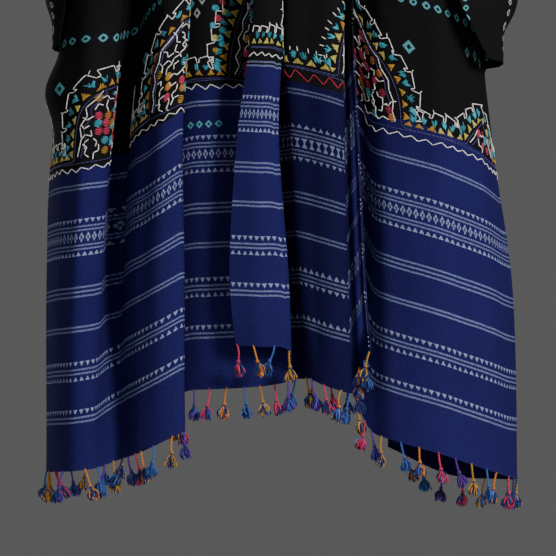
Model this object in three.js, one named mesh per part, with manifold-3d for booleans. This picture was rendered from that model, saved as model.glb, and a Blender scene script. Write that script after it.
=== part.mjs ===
// A shawl worn over both shoulders, as one thin cloth in the stretches that show.
//
// Millimetres, +Z up, +X to the wearer's left, +Y to the wearer's back.
// The origin is where the shawl is held: between the shoulder tops, at the sides of the neck.
//
// The back and the two arm drapes are lofted from sections that run from one front edge, round the
// elbow and the back, to the other front edge. Each hanging end is a sheet that runs over its fold
// lines, from the margin at the neck to the selvedge behind the hip. Its top is tucked under the
// arm drape and shoulder. Every stretch is a wall of even thickness, 0.3 mm from the next.

import * as THREE from "three";
import { mergeVertices } from "three/addons/utils/BufferGeometryUtils.js";
import Module from "manifold-3d";

const wasm = await Module();
wasm.setup();

// ---------------------------------------------------------------- driving dimensions

const CLOTH = 1.5; // thickness of the wool cloth
const SEAM = 0.3; // gap between neighbouring stretches
const FRONT_TOP = -400; // height of the upper section of a hanging end
const FRONT_LOW = -778; // height of its lower section
const TUCK_DROP = 110; // the upper section lies at least this far under the tucked top
const CHEST_KEEP = 0.9; // how much of its depth at the upper section a layer keeps at the chest
const TUCK_GAP = 0.5; // clearance of a tucked top under the drape
const END_ROWS = 12; // rows of faces from hem to shoulder
const BACK_ROWS = 16; // rows of faces from nape to lower edge
const FACES_PER_FOLD = 2; // columns of faces from one fold line to the next
const BACK_FACES_PER_FOLD = 5; // the same over the back, which has soft folds of its own

const HEM_STRIP = 4; // height of the strip that the tassels are knotted to
const TASSEL_PITCH = 28; // spacing of the tassels along the hem
const TASSEL_SECTIONS = [
  // along: distance below the hem, half: half the width of the four-sided lock
  { along: 2.2, half: 0.7 },
  { along: 20, half: 0.9 },
  { along: 23, half: 2.6 },
  { along: 26.5, half: 1.7 },
  { along: 37, half: 4.4 },
  { along: 47, half: 3.6 },
];
const TASSEL_SWING = 0.14; // largest sideways lean of a tassel, as a slope

const FINISH = {
  field: { color: 0x1a1a1c, roughness: 0.95, metalness: 0 },
  blue: { color: 0x1e2a63, roughness: 0.9, metalness: 0 },
  reverse: { color: 0x18224f, roughness: 0.92, metalness: 0 },
  fringe: { color: 0x2a3f86, roughness: 0.85, metalness: 0 },
};

// ---------------------------------------------------------------- tables

// Sections of an arm drape, a row for each level from the neck down to the edge under the elbow.
// front: where the drape ends over the chest. outer: the outermost place of shoulder and arm.
const LEFT_ARM = [
  { frontX: 62, frontY: 18, frontZ: 0, outerX: 70, outerY: 42, outerZ: 3 },
  { frontX: 105, frontY: 2, frontZ: -10, outerX: 120, outerY: 40, outerZ: -10 },
  { frontX: 165, frontY: -22, frontZ: -42, outerX: 192, outerY: 38, outerZ: -40 },
  { frontX: 206, frontY: -55, frontZ: -110, outerX: 252, outerY: 28, outerZ: -112 },
  { frontX: 230, frontY: -95, frontZ: -210, outerX: 292, outerY: 18, outerZ: -205 },
  { frontX: 238, frontY: -128, frontZ: -310, outerX: 318, outerY: 6, outerZ: -300 },
  { frontX: 236, frontY: -150, frontZ: -400, outerX: 326, outerY: 0, outerZ: -395 },
  { frontX: 256, frontY: -157, frontZ: -446, outerX: 304, outerY: -20, outerZ: -446 },
  { frontX: 277, frontY: -150, frontZ: -484, outerX: 300, outerY: -50, outerZ: -486 },
];
const RIGHT_ARM = [
  { frontX: -62, frontY: 18, frontZ: 0, outerX: -70, outerY: 42, outerZ: 3 },
  { frontX: -105, frontY: 2, frontZ: -10, outerX: -120, outerY: 40, outerZ: -10 },
  { frontX: -165, frontY: -22, frontZ: -42, outerX: -192, outerY: 38, outerZ: -40 },
  { frontX: -208, frontY: -55, frontZ: -110, outerX: -252, outerY: 28, outerZ: -112 },
  { frontX: -242, frontY: -90, frontZ: -210, outerX: -292, outerY: 18, outerZ: -205 },
  { frontX: -268, frontY: -112, frontZ: -310, outerX: -318, outerY: 6, outerZ: -300 },
  { frontX: -290, frontY: -120, frontZ: -390, outerX: -327, outerY: 0, outerZ: -390 },
  { frontX: -296, frontY: -112, frontZ: -426, outerX: -316, outerY: -20, outerZ: -428 },
  { frontX: -303, frontY: -92, frontZ: -461, outerX: -313, outerY: -48, outerZ: -464 },
];

// The same levels at the back. blade: over the shoulder blade, on both sides. middle: at x = 0.
const BACK = [
  { bladeX: 48, bladeY: 72, bladeZ: 8, middleY: 86, middleZ: 10 },
  { bladeX: 84, bladeY: 96, bladeZ: -10, middleY: 106, middleZ: -14 },
  { bladeX: 132, bladeY: 126, bladeZ: -55, middleY: 132, middleZ: -70 },
  { bladeX: 165, bladeY: 150, bladeZ: -135, middleY: 150, middleZ: -150 },
  { bladeX: 188, bladeY: 163, bladeZ: -225, middleY: 160, middleZ: -250 },
  { bladeX: 202, bladeY: 170, bladeZ: -325, middleY: 166, middleZ: -370 },
  { bladeX: 212, bladeY: 172, bladeZ: -425, middleY: 169, middleZ: -490 },
  { bladeX: 218, bladeY: 170, bladeZ: -500, middleY: 171, middleZ: -580 },
  { bladeX: 222, bladeY: 166, bladeZ: -560, middleY: 172, middleZ: -650 },
];

// Soft folds that hang down the back. at: place of the fold below the nape, counted in columns of
// the table above from the middle. lean: how far it moves by the lower edge. width and depth in
// columns and millimetres. from: the level where it starts.
const BACK_FOLDS = [
  { at: -1.3, lean: -0.12, width: 0.2, depth: 15, from: 1.6 },
  { at: -0.5, lean: -0.16, width: 0.17, depth: 19, from: 2.2 },
  { at: 0.1, lean: -0.05, width: 0.15, depth: 13, from: 3.4 },
  { at: 0.6, lean: 0.2, width: 0.18, depth: 20, from: 1.9 },
  { at: 1.35, lean: 0.1, width: 0.21, depth: 14, from: 2.6 },
];

// Fold lines of an end, from the margin at the neck to the selvedge behind the hip.
// top, mid, low and hem give x and y at the four sections, hemZ the height of the hem.
// level and round say where the top is tucked under the drape: level counts the rows of the
// tables above, and round runs from 0 at the middle of the back to 1 at the drape's front edge.
// deep is how much further under the drape the lower layers of a fold lie.
const RIGHT_END = [
  { fold: "strip selvedge", top: [-38, -150], mid: [-60, -150], low: [-70, -152], hem: [-62, -150],
    hemZ: -868, level: 0.58, round: 0.95, deep: 0 },
  { fold: "strip middle", top: [-22, -157], mid: [-35, -159], low: [-33, -162], hem: [-28, -160],
    hemZ: -870, level: 0.47, round: 0.95, deep: 0 },
  { fold: "strip fold, front", top: [-6, -150], mid: [-11, -151], low: [3, -153], hem: [6, -150],
    hemZ: -873, level: 0.36, round: 0.95, deep: 0 },
  { fold: "strip fold, edge", top: [-1, -140], mid: [-6, -140], low: [8, -141], hem: [13, -138],
    hemZ: -894, level: 0.3, round: 0.95, deep: 3 },
  { fold: "strip fold, back", top: [-10, -128], mid: [-14, -128], low: [0, -128], hem: [9, -124],
    hemZ: -916, level: 0.34, round: 0.95, deep: 6 },
  { fold: "inner, behind the fold", top: [-27, -98], mid: [-27, -108], low: [-22, -112], hem: [-14, -114],
    hemZ: -923, level: 0.5, round: 0.95, deep: 9 },
  { fold: "inner, hollow", top: [-55, -66], mid: [-57, -92], low: [-57, -104], hem: [-52, -108],
    hemZ: -927, level: 0.74, round: 0.95, deep: 9 },
  { fold: "inner, crown", top: [-95, -96], mid: [-95, -100], low: [-95, -106], hem: [-92, -110],
    hemZ: -929, level: 0.98, round: 0.95, deep: 9 },
  { fold: "inner, far side", top: [-126, -84], mid: [-130, -86], low: [-130, -90], hem: [-128, -94],
    hemZ: -932, level: 1.12, round: 0.95, deep: 12 },
  { fold: "pleat, back", top: [-154, -66], mid: [-161, -66], low: [-160, -68], hem: [-159, -72],
    hemZ: -948, level: 1.36, round: 0.95, deep: 14 },
  { fold: "pleat, return", top: [-144, -98], mid: [-152, -100], low: [-152, -102], hem: [-151, -106],
    hemZ: -965, level: 1.3, round: 0.95, deep: 8 },
  { fold: "pleat edge", top: [-124, -126], mid: [-134, -128], low: [-132, -132], hem: [-131, -134],
    hemZ: -984, level: 1.2, round: 0.95, deep: 3 },
  { fold: "pleat front", top: [-129, -137], mid: [-139, -140], low: [-137, -143], hem: [-136, -144],
    hemZ: -986, level: 1.24, round: 0.95, deep: 0 },
  { fold: "pleat crown", top: [-153, -138], mid: [-160, -141], low: [-164, -144], hem: [-164, -144],
    hemZ: -1000, level: 1.45, round: 0.95, deep: 0 },
  { fold: "pleat, far side", top: [-176, -108], mid: [-186, -108], low: [-195, -114], hem: [-193, -128],
    hemZ: -1014, level: 1.75, round: 0.95, deep: 1 },
  { fold: "deep fold, bottom", top: [-197, -58], mid: [-220, -38], low: [-230, -46], hem: [-226, -90],
    hemZ: -1027, level: 2.05, round: 0.95, deep: 6 },
  { fold: "deep fold, far side", top: [-213, -82], mid: [-235, -76], low: [-247, -82], hem: [-246, -108],
    hemZ: -1034, level: 2.3, round: 0.95, deep: 3 },
  { fold: "outer ridge", top: [-220, -108], mid: [-240, -110], low: [-253, -112], hem: [-257, -122],
    hemZ: -1036, level: 2.6, round: 0.95, deep: 0 },
  { fold: "outer crown", top: [-257, -120], mid: [-267, -124], low: [-278, -122], hem: [-281, -124],
    hemZ: -1039, level: 3.3, round: 0.95, deep: 0 },
  { fold: "outer, far side", top: [-295, -86], mid: [-297, -88], low: [-304, -90], hem: [-305, -94],
    hemZ: -1042, level: 4.2, round: 0.93, deep: 0 },
  { fold: "side turn", top: [-290, -14], mid: [-320, -12], low: [-326, -10], hem: [-327, -10],
    hemZ: -1048, level: 5.3, round: 0.8, deep: 0 },
  { fold: "wrap, side", top: [-276, 46], mid: [-306, 50], low: [-311, 48], hem: [-305, 44],
    hemZ: -1047, level: 7.3, round: 0.55, deep: 2 },
  { fold: "wrap, back", top: [-242, 84], mid: [-243, 82], low: [-242, 78], hem: [-242, 72],
    hemZ: -1030, level: 7.4, round: 0.48, deep: 0 },
  { fold: "wrap selvedge", top: [-200, 96], mid: [-189, 96], low: [-189, 94], hem: [-189, 90],
    hemZ: -1007, level: 7.5, round: 0.41, deep: 0 },
];
const LEFT_END = [
  { fold: "lapel selvedge", top: [96, -134], mid: [104, -136], low: [112, -138], hem: [120, -136],
    hemZ: -875, level: 1.05, round: 0.95, deep: 0 },
  { fold: "lapel turn", top: [94, -118], mid: [99, -119], low: [105, -120], hem: [110, -120],
    hemZ: -892, level: 1, round: 0.95, deep: 0 },
  { fold: "lapel valley", top: [84, -98], mid: [88, -99], low: [93, -99], hem: [97, -100],
    hemZ: -914, level: 0.94, round: 0.95, deep: 2 },
  { fold: "lapel ridge, back", top: [79, -122], mid: [80, -122], low: [84, -122], hem: [92, -122],
    hemZ: -931, level: 0.91, round: 0.95, deep: 1 },
  { fold: "lapel ridge", top: [83, -138], mid: [83, -141], low: [87, -144], hem: [92, -142],
    hemZ: -933, level: 0.88, round: 0.95, deep: 0 },
  { fold: "lapel middle", top: [48, -143], mid: [51, -147], low: [54, -149], hem: [59, -148],
    hemZ: -923, level: 0.66, round: 0.95, deep: 0 },
  { fold: "lapel fold, front", top: [7, -134], mid: [13, -132], low: [23, -132], hem: [37, -131],
    hemZ: -913, level: 0.46, round: 0.95, deep: 0 },
  { fold: "lapel fold, edge", top: [3, -122], mid: [9, -118], low: [20, -116], hem: [36, -116],
    hemZ: -913, level: 0.4, round: 0.95, deep: 3 },
  { fold: "lapel fold, back", top: [-10, -98], mid: [-9, -97], low: [-1, -98], hem: [16, -99],
    hemZ: -915, level: 0.45, round: 0.95, deep: 7 },
  { fold: "under the lapel", top: [66, -84], mid: [72, -82], low: [79, -80], hem: [85, -82],
    hemZ: -923, level: 1, round: 0.95, deep: 9 },
  { fold: "outer, near side", top: [112, -92], mid: [117, -92], low: [123, -94], hem: [121, -96],
    hemZ: -985, level: 1.3, round: 0.95, deep: 6 },
  { fold: "outer ridge", top: [139, -116], mid: [143, -118], low: [146, -120], hem: [149, -122],
    hemZ: -997, level: 1.5, round: 0.95, deep: 2 },
  { fold: "outer crown", top: [200, -128], mid: [206, -132], low: [206, -134], hem: [213, -132],
    hemZ: -1015, level: 1.95, round: 0.95, deep: 0 },
  { fold: "outer, far side", top: [249, -112], mid: [258, -112], low: [269, -110], hem: [271, -108],
    hemZ: -1036, level: 3.2, round: 0.95, deep: 0 },
  { fold: "before the side", top: [269, -64], mid: [283, -62], low: [304, -62], hem: [311, -62],
    hemZ: -1051, level: 4.4, round: 0.9, deep: 0 },
  { fold: "side turn", top: [278, -6], mid: [295, -4], low: [320, 0], hem: [328, 0],
    hemZ: -1059, level: 5.4, round: 0.78, deep: 2 },
  { fold: "wrap, side", top: [262, 48], mid: [284, 50], low: [306, 52], hem: [312, 52],
    hemZ: -1063, level: 7.3, round: 0.55, deep: 4 },
  { fold: "wrap, back", top: [232, 78], mid: [235, 78], low: [243, 80], hem: [240, 82],
    hemZ: -1059, level: 7.4, round: 0.48, deep: 0 },
  { fold: "wrap selvedge", top: [190, 92], mid: [169, 92], low: [161, 94], hem: [152, 96],
    hemZ: -1020, level: 7.5, round: 0.41, deep: 0 },
];

// Stretches of each end: the fold lines they run between, and their finish.
const RIGHT_STRETCHES = [
  { name: "right_front_strip", from: "strip selvedge", to: "strip fold, edge", finish: "blue" },
  { name: "right_inner_front", from: "strip fold, edge", to: "pleat, back", finish: "blue" },
  { name: "right_outer_front", from: "pleat, back", to: "side turn", finish: "blue" },
  { name: "right_side_wrap", from: "side turn", to: "wrap selvedge", finish: "blue" },
];
const LEFT_STRETCHES = [
  { name: "left_lapel", from: "lapel selvedge", to: "lapel fold, edge", finish: "reverse" },
  { name: "left_under_lapel", from: "lapel fold, edge", to: "outer, near side", finish: "blue" },
  { name: "left_outer_front", from: "outer, near side", to: "side turn", finish: "blue" },
  { name: "left_side_wrap", from: "side turn", to: "wrap selvedge", finish: "blue" },
];

// ---------------------------------------------------------------- curves and surfaces

const mix = THREE.MathUtils.lerp;
const smoothstep = THREE.MathUtils.smoothstep;

// A smooth curve through points, read by the number of the point.
function curveThrough(points) {
  const curve = new THREE.CatmullRomCurve3(points, false, "centripetal");
  const last = points.length - 1;
  return (index) => curve.getPoint(THREE.MathUtils.clamp(index / last, 0, 1));
}

// The tangents and the normal of a surface at (c, v), by small steps.
function frameAt(surface, c, v, lastC, lastV) {
  const step = 0.01;
  const c0 = Math.max(c - step, 0);
  const c1 = Math.min(c + step, lastC);
  const v0 = Math.max(v - step, 0);
  const v1 = Math.min(v + step, lastV);
  const across = surface(c1, v).sub(surface(c0, v)).normalize();
  const up = surface(c, v1).sub(surface(c, v0)).normalize();
  const normal = new THREE.Vector3().crossVectors(across, up).normalize();
  return { across, up, normal };
}

// One side of a section: front edge, elbow, outer place, corner of the back, blade.
function armPoints(arm, back) {
  const side = Math.sign(arm.frontX);
  const front = new THREE.Vector3(arm.frontX, arm.frontY, arm.frontZ);
  const outer = new THREE.Vector3(arm.outerX, arm.outerY, arm.outerZ);
  const blade = new THREE.Vector3(side * back.bladeX, back.bladeY, back.bladeZ);
  const elbow = new THREE.Vector3(
    mix(front.x, outer.x, 0.75), mix(front.y, outer.y, 0.3), mix(front.z, outer.z, 0.5));
  // Below the elbow the lower edge runs level before it falls towards the back.
  const tip = smoothstep(-outer.z, 400, 480);
  const corner = new THREE.Vector3(
    mix(outer.x, blade.x, 0.3), mix(outer.y, blade.y, 0.55), mix(outer.z, blade.z, 0.5 - 0.45 * tip));
  return [front, elbow, outer, corner, blade];
}

// The back and arm drapes as one surface. round runs from -1 at the wearer's right front edge to 1
// at the left one, and level from 0 at the neck to the last row at the lower edge.
const LAST_LEVEL = BACK.length - 1;
const POINTS_PER_SIDE = 5;
const sections = BACK.map((back, i) => {
  const middle = new THREE.Vector3(0, back.middleY, back.middleZ);
  const right = armPoints(RIGHT_ARM[i], back);
  const left = armPoints(LEFT_ARM[i], back).reverse();
  return curveThrough([...right, middle, ...left]);
});

// How far the folds of the back stand out.
function backRelief(index, level) {
  let relief = 0;
  for (const { at, lean, width, depth, from } of BACK_FOLDS) {
    const off = (index - POINTS_PER_SIDE - at - (lean * level) / LAST_LEVEL) / width;
    relief += depth * Math.exp(-off * off) * smoothstep(level, from, LAST_LEVEL);
  }
  return relief;
}

function drapeSurface(index, level) {
  const point = curveThrough(sections.map((section) => section(index)))(level);
  point.y += backRelief(index, level);
  return point;
}

function drapeIndex(round) {
  return POINTS_PER_SIDE * (1 + round);
}

// The same surface as its flat faces have it.
function drapeFacet(index, level) {
  const across = 1 / FACES_PER_FOLD;
  const down = LAST_LEVEL / BACK_ROWS;
  const i = Math.min(Math.floor(index / across), 2 * POINTS_PER_SIDE * FACES_PER_FOLD - 1);
  const j = Math.min(Math.floor(level / down), BACK_ROWS - 1);
  const corner = (di, dj) => drapeSurface((i + di) * across, (j + dj) * down);
  const upper = corner(0, 0).lerp(corner(1, 0), index / across - i);
  const lower = corner(0, 1).lerp(corner(1, 1), index / across - i);
  return upper.lerp(lower, level / down - j);
}

// A place under the drape, where the top of an end is tucked in, just clear of the cloth above it.
function tuckedPoint(round, level, deep) {
  const index = drapeIndex(round);
  const point = drapeFacet(index, level);
  const { normal } = frameAt(drapeSurface, index, level, 2 * POINTS_PER_SIDE, LAST_LEVEL);
  const inside = new THREE.Vector3(0, 30, point.z - 60).sub(point);
  if (normal.dot(inside) < 0) normal.negate();
  return point.addScaledVector(normal, CLOTH + TUCK_GAP + deep);
}

// Where the right end swells out over the elbow, just below the drape: the fold line and height
// of the fullest place, how far it spreads, and how far x moves there.
const RIGHT_SWELL = { fold: 20, spread: 1.1, z: -518, tall: 38, out: -24 };

// A hanging end as one surface: c counts the fold lines, v the sections from the hem up.
const LAST_SECTION = 5;
function endSurface(folds, side, swell) {
  const tucked = (c) => {
    const i = Math.min(Math.floor(c), folds.length - 2);
    const between = (name) => mix(folds[i][name], folds[i + 1][name], c - i);
    return tuckedPoint(side * between("round"), between("level"), between("deep"));
  };
  const columns = folds.map((fold, c) => {
    const tuck = tucked(c);
    const topZ = Math.min(FRONT_TOP, tuck.z - TUCK_DROP);
    const hem = new THREE.Vector3(fold.hem[0], fold.hem[1], fold.hemZ);
    const low = new THREE.Vector3(fold.low[0], fold.low[1], FRONT_LOW);
    const mid = new THREE.Vector3(fold.mid[0], fold.mid[1], mix(FRONT_LOW, topZ, 0.5));
    const top = new THREE.Vector3(fold.top[0], fold.top[1], topZ);
    const chest = new THREE.Vector3().lerpVectors(top, tuck, 0.5);
    chest.y += (CHEST_KEEP - 0.5) * top.y * (1 - smoothstep(fold.level, 1.5, 3));
    return [hem, low, mid, top, chest];
  });
  const levels = [];
  for (let i = 0; i < LAST_SECTION; i++) {
    levels.push(curveThrough(columns.map((column) => column[i])));
  }
  levels.push(tucked);
  return (c, v) => {
    const point = curveThrough(levels.map((level) => level(c)))(v);
    if (swell) {
      const across = (c - swell.fold) / swell.spread;
      const down = (point.z - swell.z) / swell.tall;
      point.x += swell.out * Math.exp(-across * across - down * down);
    }
    return point;
  };
}

// ---------------------------------------------------------------- solids

function steps(from, to, count) {
  return Array.from({ length: count + 1 }, (_, i) => mix(from, to, i / count));
}

// A closed wall over a grid of points and normals, half the thickness to each side.
function wallGeometry(points, normals, thickness) {
  const rows = points.length;
  const cols = points[0].length;
  const position = [];
  for (const side of [0.5, -0.5]) {
    for (let r = 0; r < rows; r++) {
      for (let c = 0; c < cols; c++) {
        const p = points[r][c].clone().addScaledVector(normals[r][c], side * thickness);
        position.push(p.x, p.y, p.z);
      }
    }
  }
  const at = (side, r, c) => side * rows * cols + r * cols + c;
  const faces = [];
  const quad = (a, b, c, d) => faces.push(a, b, c, a, c, d);
  for (let r = 0; r + 1 < rows; r++) {
    for (let c = 0; c + 1 < cols; c++) {
      quad(at(0, r, c), at(0, r, c + 1), at(0, r + 1, c + 1), at(0, r + 1, c));
      quad(at(1, r, c), at(1, r + 1, c), at(1, r + 1, c + 1), at(1, r, c + 1));
    }
    quad(at(0, r, 0), at(0, r + 1, 0), at(1, r + 1, 0), at(1, r, 0));
    quad(at(0, r, cols - 1), at(1, r, cols - 1), at(1, r + 1, cols - 1), at(0, r + 1, cols - 1));
  }
  for (let c = 0; c + 1 < cols; c++) {
    quad(at(0, 0, c), at(1, 0, c), at(1, 0, c + 1), at(0, 0, c + 1));
    quad(at(0, rows - 1, c), at(0, rows - 1, c + 1), at(1, rows - 1, c + 1), at(1, rows - 1, c));
  }
  return new THREE.BufferGeometry()
    .setAttribute("position", new THREE.Float32BufferAttribute(position, 3))
    .setIndex(faces);
}

// A stretch of a surface as a wall, kept half a seam back at its two side edges.
function stretchGeometry(surface, cs, vs, lastC, lastV) {
  const points = [];
  const normals = [];
  for (const v of vs) {
    const frames = cs.map((c) => frameAt(surface, c, v, lastC, lastV));
    const row = cs.map((c) => surface(c, v));
    row[0].addScaledVector(frames[0].across, SEAM / 2);
    row[row.length - 1].addScaledVector(frames[frames.length - 1].across, -SEAM / 2);
    points.push(row);
    normals.push(frames.map((frame) => frame.normal));
  }
  return wallGeometry(points, normals, CLOTH);
}

function toManifold(geometry) {
  const bare = geometry.clone();
  bare.deleteAttribute("normal");
  bare.deleteAttribute("uv");
  const merged = mergeVertices(bare, 1e-4);
  return new wasm.Manifold(new wasm.Mesh({
    numProp: 3,
    vertProperties: new Float32Array(merged.attributes.position.array),
    triVerts: new Uint32Array(merged.index.array),
  }));
}

function fromManifold(solid) {
  const made = solid.getMesh();
  return new THREE.BufferGeometry()
    .setAttribute("position", new THREE.Float32BufferAttribute(made.vertProperties, 3))
    .setIndex(Array.from(made.triVerts));
}

// A tassel: a four-sided lock with a cord, a knot and a flared tuft.
function tasselGeometry(root, down, across) {
  const depth = new THREE.Vector3().crossVectors(down, across).normalize();
  const width = new THREE.Vector3().crossVectors(depth, down).normalize();
  const position = [];
  for (const { along, half } of TASSEL_SECTIONS) {
    const centre = root.clone().addScaledVector(down, along);
    for (const [a, b] of [[-1, -1], [1, -1], [1, 1], [-1, 1]]) {
      const p = centre.clone().addScaledVector(width, a * half).addScaledVector(depth, b * half);
      position.push(p.x, p.y, p.z);
    }
  }
  const faces = [0, 2, 1, 0, 3, 2];
  for (let s = 0; s + 1 < TASSEL_SECTIONS.length; s++) {
    for (let k = 0; k < 4; k++) {
      const a = 4 * s + k;
      const b = 4 * s + (k + 1) % 4;
      faces.push(a, b, b + 4, a, b + 4, a + 4);
    }
  }
  const end = 4 * (TASSEL_SECTIONS.length - 1);
  faces.push(end, end + 1, end + 2, end, end + 2, end + 3);
  return new THREE.BufferGeometry()
    .setAttribute("position", new THREE.Float32BufferAttribute(position, 3))
    .setIndex(faces);
}

// A solid with its faces turned outward.
function facingOut(solidGeometry) {
  const p = solidGeometry.attributes.position;
  const index = solidGeometry.index.array;
  const corner = (i) => new THREE.Vector3().fromBufferAttribute(p, index[i]);
  let volume = 0;
  for (let i = 0; i < index.length; i += 3) {
    volume += corner(i).dot(corner(i + 1).cross(corner(i + 2)));
  }
  return volume > 0 ? solidGeometry : solidGeometry.setIndex(Array.from(index).reverse());
}

// The strip below a stretch's hem, with a tassel at each pitch fused to it.
function fringeGeometry(surface, cs, lastC) {
  const frames = cs.map((c) => frameAt(surface, c, 0, lastC, LAST_SECTION));
  const hem = cs.map((c) => surface(c, 0));
  hem[0].addScaledVector(frames[0].across, SEAM / 2);
  hem[hem.length - 1].addScaledVector(frames[frames.length - 1].across, -SEAM / 2);
  const lowered = (drop) => hem.map((p, i) => p.clone().addScaledVector(frames[i].up, -drop));
  const normals = frames.map((frame) => frame.normal);
  const strip = wallGeometry([lowered(SEAM + HEM_STRIP), lowered(SEAM)], [normals, normals], CLOTH);
  let solid = toManifold(facingOut(strip));

  let travelled = TASSEL_PITCH / 2;
  let count = 0;
  for (let i = 0; i + 1 < hem.length; i++) {
    const length = hem[i].distanceTo(hem[i + 1]);
    for (; travelled < length; travelled += TASSEL_PITCH) {
      const root = new THREE.Vector3().lerpVectors(hem[i], hem[i + 1], travelled / length);
      const down = new THREE.Vector3(TASSEL_SWING * Math.sin(2.4 * count + i), 0, -1).normalize();
      solid = solid.add(toManifold(facingOut(tasselGeometry(root, down, frames[i].across))));
      count += 1;
    }
    travelled -= length;
  }
  return fromManifold(solid);
}

// ---------------------------------------------------------------- the shawl

const shawl = new THREE.Group();

function addMesh(name, geometry, finish) {
  const mesh = new THREE.Mesh(facingOut(geometry), new THREE.MeshStandardMaterial(FINISH[finish]));
  mesh.name = name;
  shawl.add(mesh);
}

// The back between the shoulder corners, and an arm drape on each side of it.
const LAST_INDEX = 2 * POINTS_PER_SIDE;
const BACK_CORNER = 0.4;
const DRAPES = [
  { name: "right_arm_drape", from: -1, to: -BACK_CORNER, faces: FACES_PER_FOLD },
  { name: "back", from: -BACK_CORNER, to: BACK_CORNER, faces: BACK_FACES_PER_FOLD },
  { name: "left_arm_drape", from: BACK_CORNER, to: 1, faces: FACES_PER_FOLD },
];
for (const { name, from, to, faces } of DRAPES) {
  const columns = Math.round((drapeIndex(to) - drapeIndex(from)) * faces);
  const cs = steps(drapeIndex(from), drapeIndex(to), columns);
  const vs = steps(0, LAST_LEVEL, BACK_ROWS);
  addMesh(name, stretchGeometry(drapeSurface, cs, vs, LAST_INDEX, LAST_LEVEL), "field");
}

// The two ends, stretch by stretch, each with its fringe.
const ENDS = [
  { folds: RIGHT_END, stretches: RIGHT_STRETCHES, side: -1, swell: RIGHT_SWELL },
  { folds: LEFT_END, stretches: LEFT_STRETCHES, side: 1, swell: null },
];
for (const { folds, stretches, side, swell } of ENDS) {
  const surface = endSurface(folds, side, swell);
  const lastC = folds.length - 1;
  for (const { name, from, to, finish } of stretches) {
    const start = folds.findIndex((row) => row.fold === from);
    const end = folds.findIndex((row) => row.fold === to);
    const cs = steps(start, end, (end - start) * FACES_PER_FOLD);
    const vs = steps(0, LAST_SECTION, END_ROWS);
    addMesh(name, stretchGeometry(surface, cs, vs, lastC, LAST_SECTION), finish);
    addMesh(name + "_fringe", fringeGeometry(surface, cs, lastC), "fringe");
  }
}

export default shawl;
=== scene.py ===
"""A wool shawl worn over both shoulders: woven blue ends, embroidered border, knotted tassels.

Lengths are millimetres in the tables and the cloth functions, and metres in Blender. +X is to the
wearer's left, +Y to the wearer's back, +Z up, and the origin is between the shoulder tops.
On the cloth, weft is the distance across from the neck margin, and warp the distance from the hem.
"""

import math

import bpy
import numpy as np
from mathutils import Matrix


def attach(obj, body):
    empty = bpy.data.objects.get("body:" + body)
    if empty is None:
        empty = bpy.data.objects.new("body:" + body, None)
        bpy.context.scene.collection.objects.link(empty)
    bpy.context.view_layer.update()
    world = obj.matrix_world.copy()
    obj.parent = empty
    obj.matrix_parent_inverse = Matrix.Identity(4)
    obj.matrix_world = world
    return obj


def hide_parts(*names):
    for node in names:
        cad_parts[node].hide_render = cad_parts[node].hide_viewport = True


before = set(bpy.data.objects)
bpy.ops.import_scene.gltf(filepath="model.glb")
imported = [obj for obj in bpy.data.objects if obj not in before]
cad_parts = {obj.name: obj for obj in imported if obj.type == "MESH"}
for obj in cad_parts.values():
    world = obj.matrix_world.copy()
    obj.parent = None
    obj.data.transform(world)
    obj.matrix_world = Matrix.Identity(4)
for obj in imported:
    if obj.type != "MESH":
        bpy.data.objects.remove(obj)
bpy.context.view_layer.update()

MM = 0.001

# ---------------------------------------------------------------- camera, lights and floor

VIEW_PLACE = (-0.0054, -3.7, -0.778)
VIEW_LENS = 171.4

camera = bpy.data.objects.new("camera", bpy.data.cameras.new("camera"))
camera.location = VIEW_PLACE
camera.rotation_euler = (math.pi / 2, 0, 0)
camera.data.lens = VIEW_LENS
camera.data.sensor_width = 36
bpy.context.scene.collection.objects.link(camera)
bpy.context.scene.camera = camera


def lamp(name, place, target, size, power):
    data = bpy.data.lights.new(name, "AREA")
    data.size = size
    data.energy = power
    lamp_object = bpy.data.objects.new(name, data)
    lamp_object.location = place
    toward = np.subtract(target, place)
    level = math.hypot(toward[0], toward[1])
    lamp_object.rotation_euler = (
        math.atan2(level, -toward[2]),
        0,
        math.atan2(toward[1], toward[0]) - math.pi / 2,
    )
    bpy.context.scene.collection.objects.link(lamp_object)


MIDDLE = (0, 0, -0.7)
BACKDROP = (0.105, 0.105, 0.105, 1)

lamp("key_lamp", (2.3, -3.3, 0.5), MIDDLE, 1.1, 158)
lamp("fill_lamp", (-1.2, -4.1, 0.1), MIDDLE, 2.2, 18)
lamp("back_lamp", (0.2, 3.6, 1.3), MIDDLE, 2.0, 90)
lamp("side_lamp", (-2.6, 2.9, 0.6), MIDDLE, 2.0, 30)

world = bpy.data.worlds.new("studio")
world.use_nodes = True
background = world.node_tree.nodes["Background"]
background.inputs["Color"].default_value = BACKDROP
background.inputs["Strength"].default_value = 1.0
bpy.context.scene.world = world

FLOOR_HEIGHT = -1.45
FLOOR_RADIUS = 2.3
bpy.ops.object.select_all(action="DESELECT")
bpy.ops.mesh.primitive_circle_add(
    vertices=96, radius=FLOOR_RADIUS, fill_type="NGON", location=(0, 0, FLOOR_HEIGHT)
)
floor = bpy.context.object
floor.name = "floor"

# ---------------------------------------------------------------- the tables of the drape

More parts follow.
